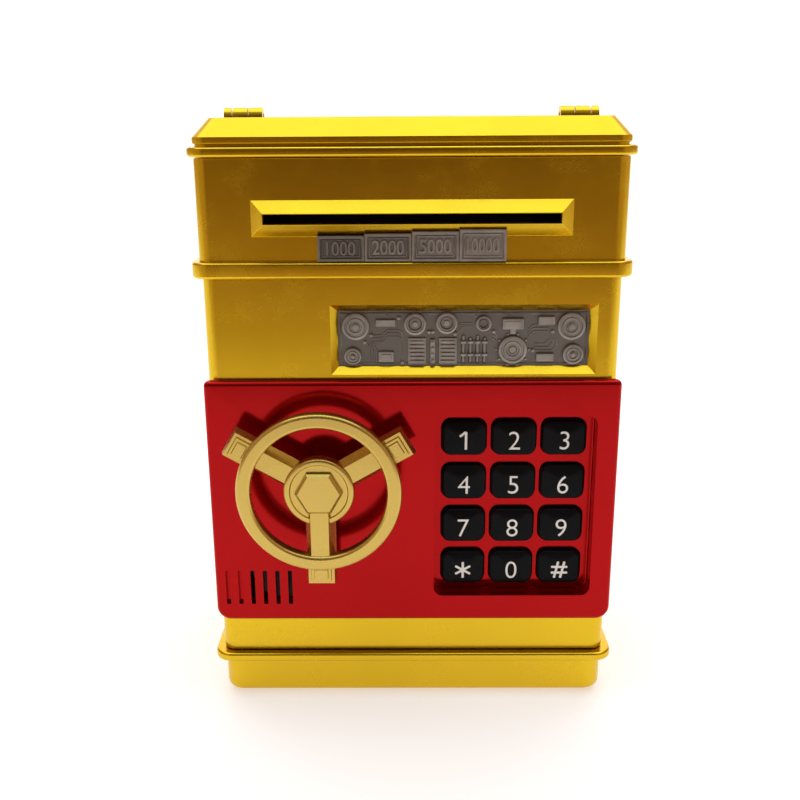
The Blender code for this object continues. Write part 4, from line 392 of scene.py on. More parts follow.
def finish_named(name):
    """The material of this finish, made once."""
    if name in MATERIALS:
        return MATERIALS[name]
    hues = colours()
    makers = {
        "gold lacquer": lambda: lacquer(name, hues.gold, 0.24, 1.0, 0.12),
        "wheel gold": lambda: lacquer(name, hues.wheel_gold, 0.25, 0.95, 0.12),
        "red gloss": lambda: lacquer(name, hues.red, 0.14, 0.8, 0.04, 0.2),
        "black gloss": lambda: lacquer(name, hues.key, 0.22, 0.0, 0.0, 0.06),
        "white print": lambda: matt(name, hues.numeral, 0.4, 2400.0, 0.01 * MM),
        "tile silver": lambda: relief_metal(name, TILES_LOW.y, 2.6 * MM),
        "relief silver": lambda: relief_metal(name, RELIEF_LOW.y - 0.2 * MM, 1.9 * MM),
        "drawn steel": lambda: brushed(name, hues.steel, 0.22, X),
        "upright steel": lambda: brushed(name, hues.steel, 0.22, Z),
        "turned steel": lambda: brushed(name, hues.steel, 0.25, Y),
        "rubber": lambda: matt(name, hues.rubber, 0.72, 1100.0),
        "silicone": lambda: matt(name, hues.grey, 0.6, 900.0),
        "nylon": lambda: matt(name, hues.nylon, 0.42, 1300.0, 0.03 * MM),
        "inner black": lambda: matt(name, hues.black, 0.5),
        "inner grey": lambda: matt(name, hues.grey, 0.5),
        "circuit board": lambda: circuit(name),
    }
    MATERIALS[name] = makers[name]()
    return MATERIALS[name]


# --- Modelling --------------------------------------------------------------------------------


def begin():
    if bpy.context.object and bpy.context.object.mode != "OBJECT":
        bpy.ops.object.mode_set(mode="OBJECT")
    bpy.ops.object.select_all(action="DESELECT")


def take(obj):
    """Makes this the only selected object, and the active one."""
    begin()
    obj.select_set(True)
    bpy.context.view_layer.objects.active = obj
    return obj


def settle():
    """Puts the active object's place, turn and size into its mesh."""
    bpy.ops.object.transform_apply(location=True, rotation=True, scale=True)
    return bpy.context.object


def cube(name, low, high):
    begin()
    centre = (Vector(low) + Vector(high)) / 2
    span = Vector(high) - Vector(low)
    bpy.ops.mesh.primitive_cube_add(size=1.0, location=centre, scale=span)
    bpy.context.object.name = name
    return settle()


def rod(name, centre, axis, radius, length, sides=48, turn=0.0):
    """A cylinder about one axis, whose first corner is turned by this angle."""
    begin()
    rotation = {X: (0, math.pi / 2, 0), Y: (math.pi / 2, 0, 0), Z: (0, 0, 0)}[axis]
    bpy.ops.mesh.primitive_cylinder_add(
        vertices=sides, radius=radius, depth=length, location=centre, rotation=rotation
    )
    obj = bpy.context.object
    obj.name = name
    if turn:
        obj.rotation_euler.rotate_axis("Z", turn)
    return settle()


def pick(obj, kind, rule):
    """In edit mode, selects only the edges or faces that the rule accepts."""
    bpy.ops.mesh.select_mode(type=kind)
    bpy.ops.mesh.select_all(action="DESELECT")
    mesh = bmesh.from_edit_mesh(obj.data)
    for item in mesh.edges if kind == "EDGE" else mesh.faces:
        if rule(item):
            item.select_set(True)
    mesh.select_flush_mode()
    bmesh.update_edit_mesh(obj.data)


def runs_along(axis):
    def rule(edge):
        first, second = (vert.co for vert in edge.verts)
        return abs((second - first).normalized()[axis]) > 0.99

    return rule


def lies_at(axis, level):
    return lambda item: all(abs(vert.co[axis] - level) < 1e-6 for vert in item.verts)


def edit(obj):
    take(obj)
    bpy.ops.object.mode_set(mode="EDIT")


def leave():
    bpy.ops.object.mode_set(mode="OBJECT")


def round_picked(radius, steps):
    bpy.ops.mesh.bevel(offset=radius, segments=steps, profile=0.5, affect="EDGES")


def terrace(*steps):
    """Insets the picked faces once for each (thickness, depth), in millimetres."""
    for thickness, depth in steps:
        bpy.ops.mesh.inset(thickness=thickness * MM, depth=depth * MM)


def slab(name, low, high, axis=Z, corner=0.0, low_edge=0.0, high_edge=0.0, steps=6, edge_steps=3):
    """A block with the corners along one axis rounded, and the rim at each end softened."""
    obj = cube(name, low, high)
    edit(obj)
    if corner:
        pick(obj, "EDGE", runs_along(axis))
        round_picked(corner, steps)
    for level, radius in ((low[axis], low_edge), (high[axis], high_edge)):
        if radius:
            pick(obj, "EDGE", lies_at(axis, level))
            round_picked(radius, edge_steps)
    leave()
    return obj


def wedge(name, low, high, axis, toward, inset, corner=0.0):
    """A block whose face at one end of an axis is drawn in all round."""
    obj = slab(name, low, high, axis, corner) if corner else cube(name, low, high)
    level = high[axis] if toward > 0 else low[axis]
    centre = (Vector(low) + Vector(high)) / 2
    centre[axis] = level
    half = (Vector(high) - Vector(low)) / 2
    share = [1.0 if index == axis else 1 - inset / half[index] for index in range(3)]
    edit(obj)
    pick(obj, "FACE", lies_at(axis, level))
    bpy.ops.transform.resize(value=share, center_override=centre)
    leave()
    return obj


def turn_about(obj, centre, axis, angle):
    """Turns a finished shape about an axis through a point, in its mesh."""
    obj.data.transform(
        Matrix.Translation(centre)
        @ Matrix.Rotation(angle, 4, axis)
        @ Matrix.Translation(-Vector(centre))
    )
    return obj


def copy_of(obj, name, shift=(0, 0, 0)):
    """A copy with its own mesh, moved by this much."""
    made = bpy.data.objects.new(name, obj.data.copy())
    bpy.context.scene.collection.objects.link(made)
    made.data.transform(Matrix.Translation(shift))
    return made


def combine(obj, others, operation):
    for other in others:
        take(obj)
        modifier = obj.modifiers.new("combine", "BOOLEAN")
        modifier.operation = operation
        modifier.object = other
        modifier.solver = "EXACT"
        bpy.ops.object.modifier_apply(modifier=modifier.name)
        bpy.data.objects.remove(other)
    return obj


def cut(obj, *others):
    return combine(obj, others, "DIFFERENCE")


def add(obj, *others):
    return combine(obj, others, "UNION")


def gather(obj, *others):
    """Joins shapes into one object, with each still a closed shape of its own."""
    begin()
    for other in others:
        other.select_set(True)
    obj.select_set(True)
    bpy.context.view_layer.objects.active = obj
    bpy.ops.object.join()
    return obj


def soften(obj, width, steps=2, angle=35.0):
    """Rounds every sharp edge a little, as a moulding's or a stamping's edges are."""
    take(obj)
    modifier = obj.modifiers.new("soften", "BEVEL")
    modifier.width = width
    modifier.segments = steps
    modifier.limit_method = "ANGLE"
    modifier.angle_limit = math.radians(angle)
    modifier.miter_outer = "MITER_ARC"
    modifier.harden_normals = False
    bpy.ops.object.modifier_apply(modifier=modifier.name)
    return obj


def finish(obj, name, body, material, nodes=(), angle=32.0, merge=2e-7):
    """Cleans a piece, shades it, gives it its material and its place in the frame."""
    edit(obj)
    bpy.ops.mesh.select_all(action="SELECT")
    bpy.ops.mesh.remove_doubles(threshold=merge)
    bpy.ops.mesh.select_all(action="SELECT")
    bpy.ops.mesh.normals_make_consistent(inside=False)
    leave()
    obj.name = name
    obj.data.name = name
    bpy.ops.object.shade_smooth_by_angle(angle=math.radians(angle))
    weights = obj.modifiers.new("weights", "WEIGHTED_NORMAL")
    weights.keep_sharp = True
    weights.weight = 80
    bpy.ops.object.modifier_apply(modifier=weights.name)
    obj.data.materials.clear()
    obj.data.materials.append(finish_named(material) if isinstance(material, str) else material)
    for polygon in obj.data.polygons:
        polygon.material_index = 0
    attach(obj, body)
    if nodes:
        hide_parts(*nodes)
    return obj


def refined(node, body, material, width=None, angle=32.0):
    """A finished copy of a CAD node: merged, with its flat faces made whole and edges eased."""
    begin()
    made = bpy.data.objects.new(node + "_piece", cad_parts[node].data.copy())
    bpy.context.scene.collection.objects.link(made)
    edit(made)
    bpy.ops.mesh.select_all(action="SELECT")
    bpy.ops.mesh.remove_doubles(threshold=2e-6)
    bpy.ops.mesh.dissolve_limited(angle_limit=math.radians(1.0))
    leave()
    if width != 0:
        soften(made, width or sizes().metal_edge, 2, 40.0)
    return finish(made, node + "_piece", body, material, (node,), angle)


def glyph(name, text, height, centre, depth, stroke=0.0, narrow=1.0):
    """A raised numeral that faces the front, as a mesh."""
    begin()
    bpy.ops.object.text_add()
    obj = bpy.context.object
    obj.data.body = text
    obj.data.size = 1.0
    obj.data.extrude = depth / 2 / height
    obj.data.offset = stroke
    obj.data.resolution_u = 6
    bpy.ops.object.convert(target="MESH")
    obj = bpy.context.object
    obj.name = name
    coords = [vert.co for vert in obj.data.vertices]
    low = Vector([min(co[index] for co in coords) for index in range(3)])
    high = Vector([max(co[index] for co in coords) for index in range(3)])
    scale = height / (high.y - low.y)
    obj.data.transform(Matrix.Translation(-(low + high) / 2))
    obj.data.transform(Matrix.Diagonal((scale * narrow, scale, height, 1.0)))
    obj.data.transform(Matrix.Rotation(math.pi / 2, 4, "X"))
    obj.data.transform(Matrix.Translation(centre))
    edit(obj)
    bpy.ops.mesh.select_all(action="SELECT")
    bpy.ops.mesh.remove_doubles(threshold=1e-6)
    bpy.ops.mesh.normals_make_consistent(inside=False)
    leave()
    return obj


def track(name, points, radius):
    """A raised line along these points, half sunk in its plate."""
    curve = bpy.data.curves.new(name, "CURVE")
    curve.dimensions = "3D"
    curve.bevel_depth = radius
    curve.bevel_resolution = 1
    curve.use_fill_caps = True
    spline = curve.splines.new("POLY")
    spline.points.add(len(points) - 1)
    for knot, point in zip(spline.points, points):
        knot.co = (*point, 1)
    obj = bpy.data.objects.new(name, curve)
    bpy.context.scene.collection.objects.link(obj)
    take(obj)
    bpy.ops.object.convert(target="MESH")
    return bpy.context.object


# --- Cabinet ----------------------------------------------------------------------------------


class BANK_OT_base(bpy.types.Operator):
    """Builds the base tray with its rib, and its feet and screws"""

    bl_idname = "bank.base"
    bl_label = "Base"

    def execute(self, context):
        size = sizes()
        rib_low = BASE_HIGH.z - 3.0 * MM
        tray = slab(
            "tray",
            (-SIDE, FRONT, BASE_LOW.z),
            (SIDE, REAR, BASE_HIGH.z - 1 * MM),
            Z,
            6.0 * MM,
            low_edge=2.4 * MM,
            steps=8,
            edge_steps=5,
        )
        rib = slab(
            "rib",
            (BASE_LOW.x, BASE_LOW.y, rib_low),
            BASE_HIGH,
            Z,
            size.rib_corner,
            size.rib_edge,
            size.rib_edge,
            steps=8,
        )
        hollow = slab(
            "hollow",
            (-SIDE + WALL, FRONT + WALL, BASE_LOW.z + 2.4 * MM),
            (SIDE - WALL, REAR - WALL, BASE_HIGH.z + 1 * MM),
            Z,
            3.8 * MM,
        )
        add(tray, rib)
        cut(tray, hollow)
        seats = []
        for number in range(1, 5):
            low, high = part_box(f"foot_{number}")
            middle = (low + high) / 2
            radius = (high.x - low.x) / 2 + GAP
            seats.append(rod("seat", (middle.x, middle.y, BASE_LOW.z), Z, radius, 3 * MM))
            low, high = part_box(f"case_screw_{number}")
            middle = (low + high) / 2
            radius = (high.x - low.x) / 2 + GAP
            seats.append(rod("bore", (middle.x, middle.y, BASE_LOW.z), Z, radius, 3 * MM))
        cut(tray, *seats)
        soften(tray, 0.15 * MM, 1, 50.0)
        finish(tray, "base_moulding", "housing", "gold lacquer", ("base_tray",))
        foot = self.foot()
        pattern = screw("case_screw_1", Z, -1)
        for number in range(1, 5):
            place_copy(foot, "foot_1", f"foot_{number}", "housing", "rubber")
            place_copy(pattern, "case_screw_1", f"case_screw_{number}", "housing", "turned steel")
        discard(foot, pattern)
        return {"FINISHED"}

    def foot(self):
        """A moulded rubber foot, dished in the middle, with a pip in the dish."""
        low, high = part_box("foot_1")
        middle = (low + high) / 2
        radius = (high.x - low.x) / 2
        foot = rod("foot", middle, Z, radius, high.z - low.z, 64)
        edit(foot)
        pick(foot, "FACE", lies_at(Z, low.z))
        bpy.ops.mesh.inset(thickness=0.3 * radius, depth=0.0)
        bpy.ops.mesh.inset(thickness=0.1 * radius, depth=-0.35 * MM)
        bpy.ops.mesh.inset(thickness=0.3 * radius, depth=0.0)
        bpy.ops.mesh.inset(thickness=0.06 * radius, depth=0.3 * MM)
        pick(foot, "EDGE", lambda edge: lies_at(Z, low.z)(edge) and edge.verts[0].co.xy != middle.xy
             and min((vert.co.xy - middle.xy).length for vert in edge.verts) > 0.95 * radius)
        round_picked(0.6 * MM, 3)
        leave()
        return foot


def place_copy(pattern, first, node, body, material):
    """A copy of the shape modelled over the first node, over another node like it."""
    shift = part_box(node)[0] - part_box(first)[0]
    made = copy_of(pattern, node + "_shape", shift)
    return finish(made, node + "_made", body, material, (node,))


def discard(*shapes):
    """Removes shapes that were only patterns for copies."""
    for shape in shapes:
        bpy.data.objects.remove(shape)


def screw(node, axis, way):
    """A cross-headed screw over a CAD one. Its head is at the low end of the axis where way
    is negative, and at the high end where it is positive."""
    low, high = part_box(node)
    middle = (low + high) / 2
    across = (axis + 1) % 3
    radius = (high[across] - low[across]) / 2
    face = low[axis] if way < 0 else high[axis]
    head_depth = 1.2 * MM
    centre = middle.copy()
    centre[axis] = face - way * head_depth / 2
    obj = rod("screw_head", centre, axis, radius, head_depth, 40)
    edit(obj)
    pick(obj, "EDGE", lies_at(axis, face))
    round_picked(0.45 * MM, 3)
    leave()
    for turn in (0.0, math.pi / 2):
        slot_low = Vector(middle)
        slot_high = Vector(middle)
        second = 3 - axis - across
        long_axis, short_axis = (across, second) if turn else (second, across)
        for index, reach in ((long_axis, 0.62 * radius), (short_axis, 0.13 * radius)):
            slot_low[index] -= reach
            slot_high[index] += reach
        slot_low[axis] = face - 0.7 * MM
        slot_high[axis] = face + 0.7 * MM
        cut(obj, cube("screw_cross", slot_low, slot_high))
    length = (high[axis] - low[axis]) - head_depth
    centre[axis] = face - way * (head_depth + length / 2 - 0.05 * MM)
    shank = rod("screw_shank", centre, axis, 1.05 * MM, length, 24)
    pitch = 0.9 * MM
    add(obj, shank)
    turns = int(length / pitch) - 1
    rings = []
    for index in range(turns):
        at = centre.copy()
        at[axis] = face - way * (head_depth + (index + 1) * pitch)
        ring = rod("screw_thread", at, axis, 1.28 * MM, 0.32 * MM, 24)
        edit(ring)
        pick(ring, "EDGE", lambda edge: lies_at(axis, at[axis] - 0.16 * MM)(edge)
             or lies_at(axis, at[axis] + 0.16 * MM)(edge))
        round_picked(0.12 * MM, 1)
        leave()
        rings.append(ring)
    gather(obj, *rings)
    return obj


class BANK_OT_body(bpy.types.Operator):
    """Builds the cabinet's middle course, with its doorway and bevelled window"""

    bl_idname = "bank.body"
    bl_label = "Cabinet body"

    def execute(self, context):
        size = sizes()
        shell = slab(
            "shell",
            (-SIDE, FRONT, BODY_LOW),
            (SIDE, REAR, BODY_TOP),
            Z,
            size.body_corner,
            0.3 * MM,
            0.3 * MM,
            steps=8,
            edge_steps=2,
        )
        hollow = slab(
            "hollow",
            (-SIDE + WALL, FRONT + WALL, BODY_LOW - 5 * MM),
            (SIDE - WALL, REAR - WALL, BODY_TOP + 5 * MM),
            Z,
            1.8 * MM,
            steps=4,
        )
        cut(shell, hollow)
        opening_low = Vector((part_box("keeper_plate")[1].x + GAP, FRONT, BACK_LOW.z - 0.7 * MM))
        opening_high = Vector((DOOR_HIGH.x - 5.1 * MM, FRONT, BACK_HIGH.z + 0.7 * MM))
        post = cube(
            "post",
            (opening_high.x - 0.1 * MM, FRONT + 0.5 * MM, opening_low.z - 3 * MM),
            (SIDE - 0.8 * MM, FRONT + 7 * MM, opening_high.z + 3 * MM),
        )
        add(shell, post)
        doorway = slab(
            "doorway",
            (opening_low.x, FRONT - 2 * MM, opening_low.z),
            (opening_high.x, FRONT + WALL + 0.6 * MM, opening_high.z),
            Y,
            0.6 * MM,
            steps=3,
        )
        relief = rod(
            "relief",
            (opening_high.x, FRONT, (opening_low.z + opening_high.z) / 2),
            Z,
            1.5 * MM,
            opening_high.z - opening_low.z,
            4,
        )
        edge = 1.2 * MM
        bevel = 2.8 * MM
        window = wedge(
            "window",
            (RELIEF_LOW.x + edge - bevel, FRONT - GAP, RELIEF_LOW.z + edge - bevel),
            (RELIEF_HIGH.x - edge + bevel, FRONT + WALL + GAP, RELIEF_HIGH.z - edge + bevel),
            Y,
            1,
            bevel,
        )
        bay_low, bay_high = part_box("battery_box")
        battery = slab(
            "battery",
            (bay_low.x + 1.8 * MM, REAR - WALL - 2 * MM, bay_low.z + 1.8 * MM),
            (bay_high.x - 1.8 * MM, REAR + 2 * MM, bay_high.z - 1.8 * MM),
            Y,
            2 * MM,
        )
        cut(shell, doorway, relief, window, battery)
        for number in (1, 2):
            low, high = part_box(f"hinge_pin_{number}")
            middle = (low + high) / 2
            notch = cube(
                "notch",
                (opening_high.x - 1 * MM, FRONT - 1 * MM, middle.z - 4.6 * MM),
                (SIDE + 2 * MM, FRONT + 5 * MM, middle.z + 4.6 * MM),
            )
            bore = rod("bore", middle, Z, 1.2 * MM, high.z - low.z + 2 * GAP, 24)
            cut(shell, notch, bore)
            refined(f"hinge_pin_{number}", "housing", "upright steel")
        soften(shell, size.soft_edge, 2, 38.0)
        finish(shell, "body_moulding", "housing", "gold lacquer", ("body_shell",))
        refined("vault_floor", "housing", "inner black", 0.25 * MM)
        refined("keeper_plate", "housing", "drawn steel")
        return {"FINISHED"}


class BANK_OT_head(bpy.types.Operator):
    """Builds the head course with its rib and the raised frame of the note slot"""

    bl_idname = "bank.head"
    bl_label = "Head"

    def execute(self, context):
        size = sizes()
        side = SIDE + 0.6 * MM
        front = FRONT - 0.6 * MM
        back = REAR + 0.6 * MM
        rib_low = BODY_TOP + GAP
        shell = slab(
            "head",
            (-side, front, rib_low + 1 * MM),
            (side, back, HEAD_HIGH.z),
            Z,
            size.body_corner,
            0.0,
            0.3 * MM,
            steps=8,
            edge_steps=2,
        )
        rib = slab(
            "rib",
            (HEAD_LOW.x, FRONT - RIB_PROUD, rib_low),
            (HEAD_HIGH.x, REAR + RIB_PROUD, rib_low + 5.0 * MM),
            Z,
            size.rib_corner,
            size.rib_edge,
            size.rib_edge,
            steps=8,
        )
        slot_z = rib_low + 17.9 * MM
        slot_half = 44.0 * MM
        half_height = 1.5 * MM + 3.9 * MM
        mouth = wedge(
            "mouth",
            (-slot_half - 3.95 * MM, HEAD_LOW.y, slot_z - half_height),
            (slot_half + 3.95 * MM, front + 0.02 * MM, slot_z + half_height),
            Y,
            -1,
            3.75 * MM,
        )
        hollow = slab(
            "hollow",
            (-side + WALL, front + WALL, rib_low - 5 * MM),
            (side - WALL, back - WALL, HEAD_HIGH.z + 5 * MM),
            Z,
            1.8 * MM,
            steps=4,
        )
        slot = cube(
            "slot",
            (-slot_half, HEAD_LOW.y - 2 * MM, slot_z - 1.5 * MM),
            (slot_half, front + WALL + 2 * MM, slot_z + 1.5 * MM),
        )
        inner = WALL + GAP + 1.4 * MM
        lip = cube(
            "lip",
            (-side + 1 * MM, front + 1 * MM, rib_low + 0.6 * MM),
            (side - 1 * MM, back - 1 * MM, rib_low + 2.2 * MM),
        )
        lip_hole = cube(
            "lip_hole",
            (-SIDE + inner, FRONT + inner, rib_low - 1 * MM),
            (SIDE - inner, REAR - inner, rib_low + 4 * MM),
        )
        cut(lip, lip_hole)
        add(shell, rib, mouth)
        cut(shell, hollow)
        add(shell, lip)
        cut(shell, slot)
        soften(shell, size.soft_edge, 2, 38.0)
        finish(shell, "head_moulding", "housing", "gold lacquer", ("head_shell",))
        return {"FINISHED"}


# The tiles' border, field and inner line, from the edge inwards
TILE_STEPS = ((0.75, 0.0), (0.12, -0.55), (0.35, 0.0), (0.1, 0.3), (0.2, 0.0), (0.1, -0.3))


class BANK_OT_tiles(bpy.types.Operator):
    """Builds the row of four bordered tiles, each with a raised number"""

    bl_idname = "bank.tiles"
    bl_label = "Note tiles"

    def execute(self, context):
        numbers = ("1000", "2000", "5000", "10000")
        width = (TILES_HIGH.x - TILES_LOW.x - 0.2 * MM) / len(numbers)
        step = 0.6 * MM
        height = TILES_HIGH.z - TILES_LOW.z - step * (len(numbers) - 1)
        fan = 0.35 * MM
        first_front = TILES_LOW.y + fan * (len(numbers) - 1)
        pieces = []
        for index, number in enumerate(numbers):
            left = TILES_LOW.x + index * width
            front = first_front - index * fan
            low = Vector((left, front, TILES_LOW.z))
            top = TILES_LOW.z + height + index * step
            high = Vector((left + width - 0.15 * MM, TILES_HIGH.y, top))
            tile = cube(f"tile_{number}", low, high)
            edit(tile)
            pick(tile, "FACE", lies_at(Y, front))
            terrace(*TILE_STEPS)
            leave()
            soften(tile, 0.1 * MM, 2, 30.0)
            centre = Vector(((low.x + high.x) / 2, front + 0.3 * MM, (low.z + high.z) / 2))
            narrow = 0.86 if len(number) > 4 else 1.0
            digits = glyph(
                f"digits_{number}",
                number,
                sizes().tile_numeral_height,
                centre,
                0.8 * MM,
                0.012,
                narrow * 0.82,
            )
            soften(digits, 0.08 * MM, 1, 40.0)
            pieces += [tile, digits]
        plate = gather(*pieces)
        finish(plate, "tiles_moulding", "housing", "tile silver", ("note_tiles",))
        return {"FINISHED"}


class BANK_OT_relief(bpy.types.Operator):
    """Builds the relief plate behind the window, with dials, pipes and tracks"""

    bl_idname = "bank.relief"
    bl_label = "Relief plate"

    def execute(self, context):
        edge = 1.2 * MM
        low = Vector((RELIEF_LOW.x + edge, RELIEF_LOW.y, RELIEF_LOW.z + edge))
        high = Vector((RELIEF_HIGH.x - edge, RELIEF_HIGH.y, RELIEF_HIGH.z - edge))
        self.floor = RELIEF_HIGH.y - 1.6 * MM
        self.left = low.x
        self.foot = low.z
        self.shapes = []
        plate = cube(
            "relief",
            (RELIEF_LOW.x, self.floor, RELIEF_LOW.z),
            RELIEF_HIGH,
        )
        self.corner_bosses(high - low)
        self.gauges()
        self.blocks()
        self.pipes()
        self.tracks(high - low)
        gather(plate, *self.shapes)
        finish(plate, "relief_moulding", "housing", "relief silver", ("relief_plate",))
        return {"FINISHED"}

    def disc(self, across, up, radius, rise, sides=40, edge=0.2):
        sunk = 0.4 * MM
        middle = self.floor - rise * MM / 2 + sunk / 2
        centre = (self.left + across * MM, middle, self.foot + up * MM)
        depth = rise * MM + sunk
        obj = rod("disc", centre, Y, radius * MM, depth, sides)
        edit(obj)
        pick(obj, "EDGE", lies_at(Y, centre[Y] - depth / 2))
        round_picked(edge * MM, 2)
        leave()
        self.shapes.append(obj)
        return obj

    def dial(self, across, up, radius, rings=2, rise=1.0, hollow=True):
        """A raised dial: rings stepped inwards, with a hollow or a knob at the middle."""
        obj = self.disc(across, up, radius, rise)
        front = min(vert.co.y for vert in obj.data.vertices)
        edit(obj)
        pick(obj, "FACE", lies_at(Y, front))
        for _ in range(rings):
            terrace((radius * 0.14, 0.0), (radius * 0.04, -0.45))
            terrace((radius * 0.12, 0.0), (radius * 0.04, 0.4))
        if hollow:
            terrace((radius * 0.1, -0.8))
        leave()
        return obj

    def bar(self, across, up, width, height, rise=0.8, edge=0.14):
        low = (self.left + across * MM, self.floor - rise * MM, self.foot + up * MM)
        high = (low[0] + width * MM, self.floor + 0.4 * MM, low[2] + height * MM)
        obj = slab("bar", low, high, Y, edge * MM, edge * MM, 0.0, steps=2, edge_steps=2)
        self.shapes.append(obj)
        return obj

    def line(self, *points, radius=0.26):
        places = [
            (self.left + across * MM, self.floor - 0.05 * MM, self.foot + up * MM)
            for across, up in points
        ]
        self.shapes.append(track("track", places, radius * MM))

    def corner_bosses(self, span):
        wide, tall = span.x / MM, span.z / MM
        for across, up, radius in (
            (5.2, tall - 4.6, 4.2),
            (4.2, 3.0, 2.7),
            (wide - 5.2, tall - 4.7, 4.3),
            (wide - 4.4, 3.4, 3.2),
        ):
            self.dial(across, up, radius, 2, 1.1, hollow=False)
            self.disc(across, up, radius * 0.2, 1.5, 20)

    def gauges(self):
        self.dial(23.6, 13.1, 3.4, 1, 1.2)
        self.dial(33.4, 13.4, 3.3, 1, 1.2)
        self.dial(53.9, 4.9, 4.4, 2, 1.2)
        self.dial(44.8, 13.2, 2.4, 1, 1.0)
        for across, up, radius in ((23.6, 13.1, 0.9), (33.4, 13.4, 0.9), (53.9, 4.9, 1.1)):
            self.disc(across, up, radius, 0.9, 20)
        for index in range(10):
            angle = 2 * math.pi * index / 10
            self.disc(53.9 + 5.1 * math.cos(angle), 4.9 + 5.1 * math.sin(angle), 0.36, 0.6, 12, 0.1)

    def blocks(self):
        for left in (21.4, 31.0):
            self.bar(left, 0.5, 5.6, 8.2, 0.7)
            for index in range(6):
                self.bar(left + 0.6, 1.0 + index * 1.24, 4.4, 0.66, 1.2, 0.12)
        self.bar(28.3, 0.7, 1.5, 7.6, 1.1)
        for index in range(4):
            self.disc(29.05, 1.7 + index * 1.9, 0.55, 1.4, 16, 0.1)
        for across, up, width, height, rise, edge in (
            (50.6, 11.4, 6.6, 3.4, 1.1, 0.3),
            (51.3, 12.1, 5.2, 2.0, 1.3, 0.2),
            (53.0, 9.9, 1.8, 1.6, 0.8, 0.14),
            (11.4, 12.4, 6.2, 2.2, 0.9, 0.3),
            (12.2, 1.1, 4.8, 3.4, 0.9, 0.3),
            (13.0, 1.9, 3.2, 1.8, 1.2, 0.2),
            (61.2, 1.1, 5.6, 2.6, 0.9, 0.3),
            (61.6, 12.8, 5.2, 2.6, 0.9, 0.3),
        ):
            self.bar(across, up, width, height, rise, edge)

    def pipes(self):
        for index in range(4):
            across = 38.6 + index * 2.2
            self.line((across, 1.0), (across, 9.4 - 0.7 * (index % 2)), radius=0.62)
            self.bar(across - 0.85, 3.0, 1.7, 0.8, 1.1, 0.12)
            self.bar(across - 0.85, 7.0, 1.7, 0.8, 1.1, 0.12)

    def tracks(self, span):
        """Octagonal tracks that link the shapes, in nested runs."""
        for index in range(3):
            inset = index * 1.05
            self.line((10.2, 9.6 - inset), (13.4, 9.6 - inset), (15.0, 11.2 - inset),
                      (18.6, 11.2 - inset), (19.6, 10.2 - inset), (19.6, 1.2 + inset))
            self.line((36.2, 9.9 + inset), (38.4 - inset * 0.4, 12.2 + inset * 0.5),
                      (41.2, 12.2 + inset * 0.5))
            self.line((47.8, 10.6 - inset), (49.0, 9.4 - inset), (49.0, 1.1 + inset * 0.5))
            self.line((58.6, 9.0 + inset), (60.2, 10.6 + inset), (64.8, 10.6 + inset))
            self.line((60.4, 4.6 + inset), (66.0 - inset, 4.6 + inset), (67.4 - inset, 6.0 + inset),
                      (67.4 - inset, 8.2))
            self.line((9.4 + inset, 0.9), (9.4 + inset, 6.0 - inset * 0.4), (8.2 + inset, 7.2))
        for across in (11.0, 18.0, 27.9, 38.2, 48.6, 59.4):
            self.line((across, 16.2), (across + 3.4, 16.2), (across + 4.4, 15.3))
        for across, up in ((10.0, 9.6), (19.6, 0.9), (36.0, 10.0), (48.0, 10.6), (66.2, 10.6),
                           (60.2, 4.6), (8.0, 7.4), (27.9, 10.6), (29.1, 10.6), (18.6, 15.0)):
            self.disc(across, up, 0.55, 0.7, 16, 0.12)
        border = 0.5
        wide, tall = span.x / MM - border, span.z / MM - border
        self.line((border, border), (wide, border), (wide, tall), (border, tall), (border, border),
                  radius=0.3)


# --- Cap and handle ---------------------------------------------------------------------------


def u_shape(name, outer, width, near, far, low, high, corner, edge=0.0):
    """A U in plan, open towards the front, made from one rounded block cut by another."""
    shape = slab(name, (-outer, near - 20 * MM, low), (outer, far, high), Z, corner)
    inner = slab(
        name + "_inner",
        (-outer + width, near - 40 * MM, low - 5 * MM),
        (outer - width, far - width, high + 5 * MM),
        Z,
        max(corner - width, 1.5 * MM),
    )
    front = cube(
        name + "_front", (-outer - 5 * MM, near - 60 * MM, low - 5 * MM),
        (outer + 5 * MM, near, high + 5 * MM),
    )
    cut(shape, inner, front)
    if edge:
        soften(shape, edge, 3, 40.0)
    return shape


def lug_line():
    """The handle's hinge line: its distance behind the front and its height."""
    low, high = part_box("handle_pin_left")
    return (low.y + high.y) / 2, (low.z + high.z) / 2


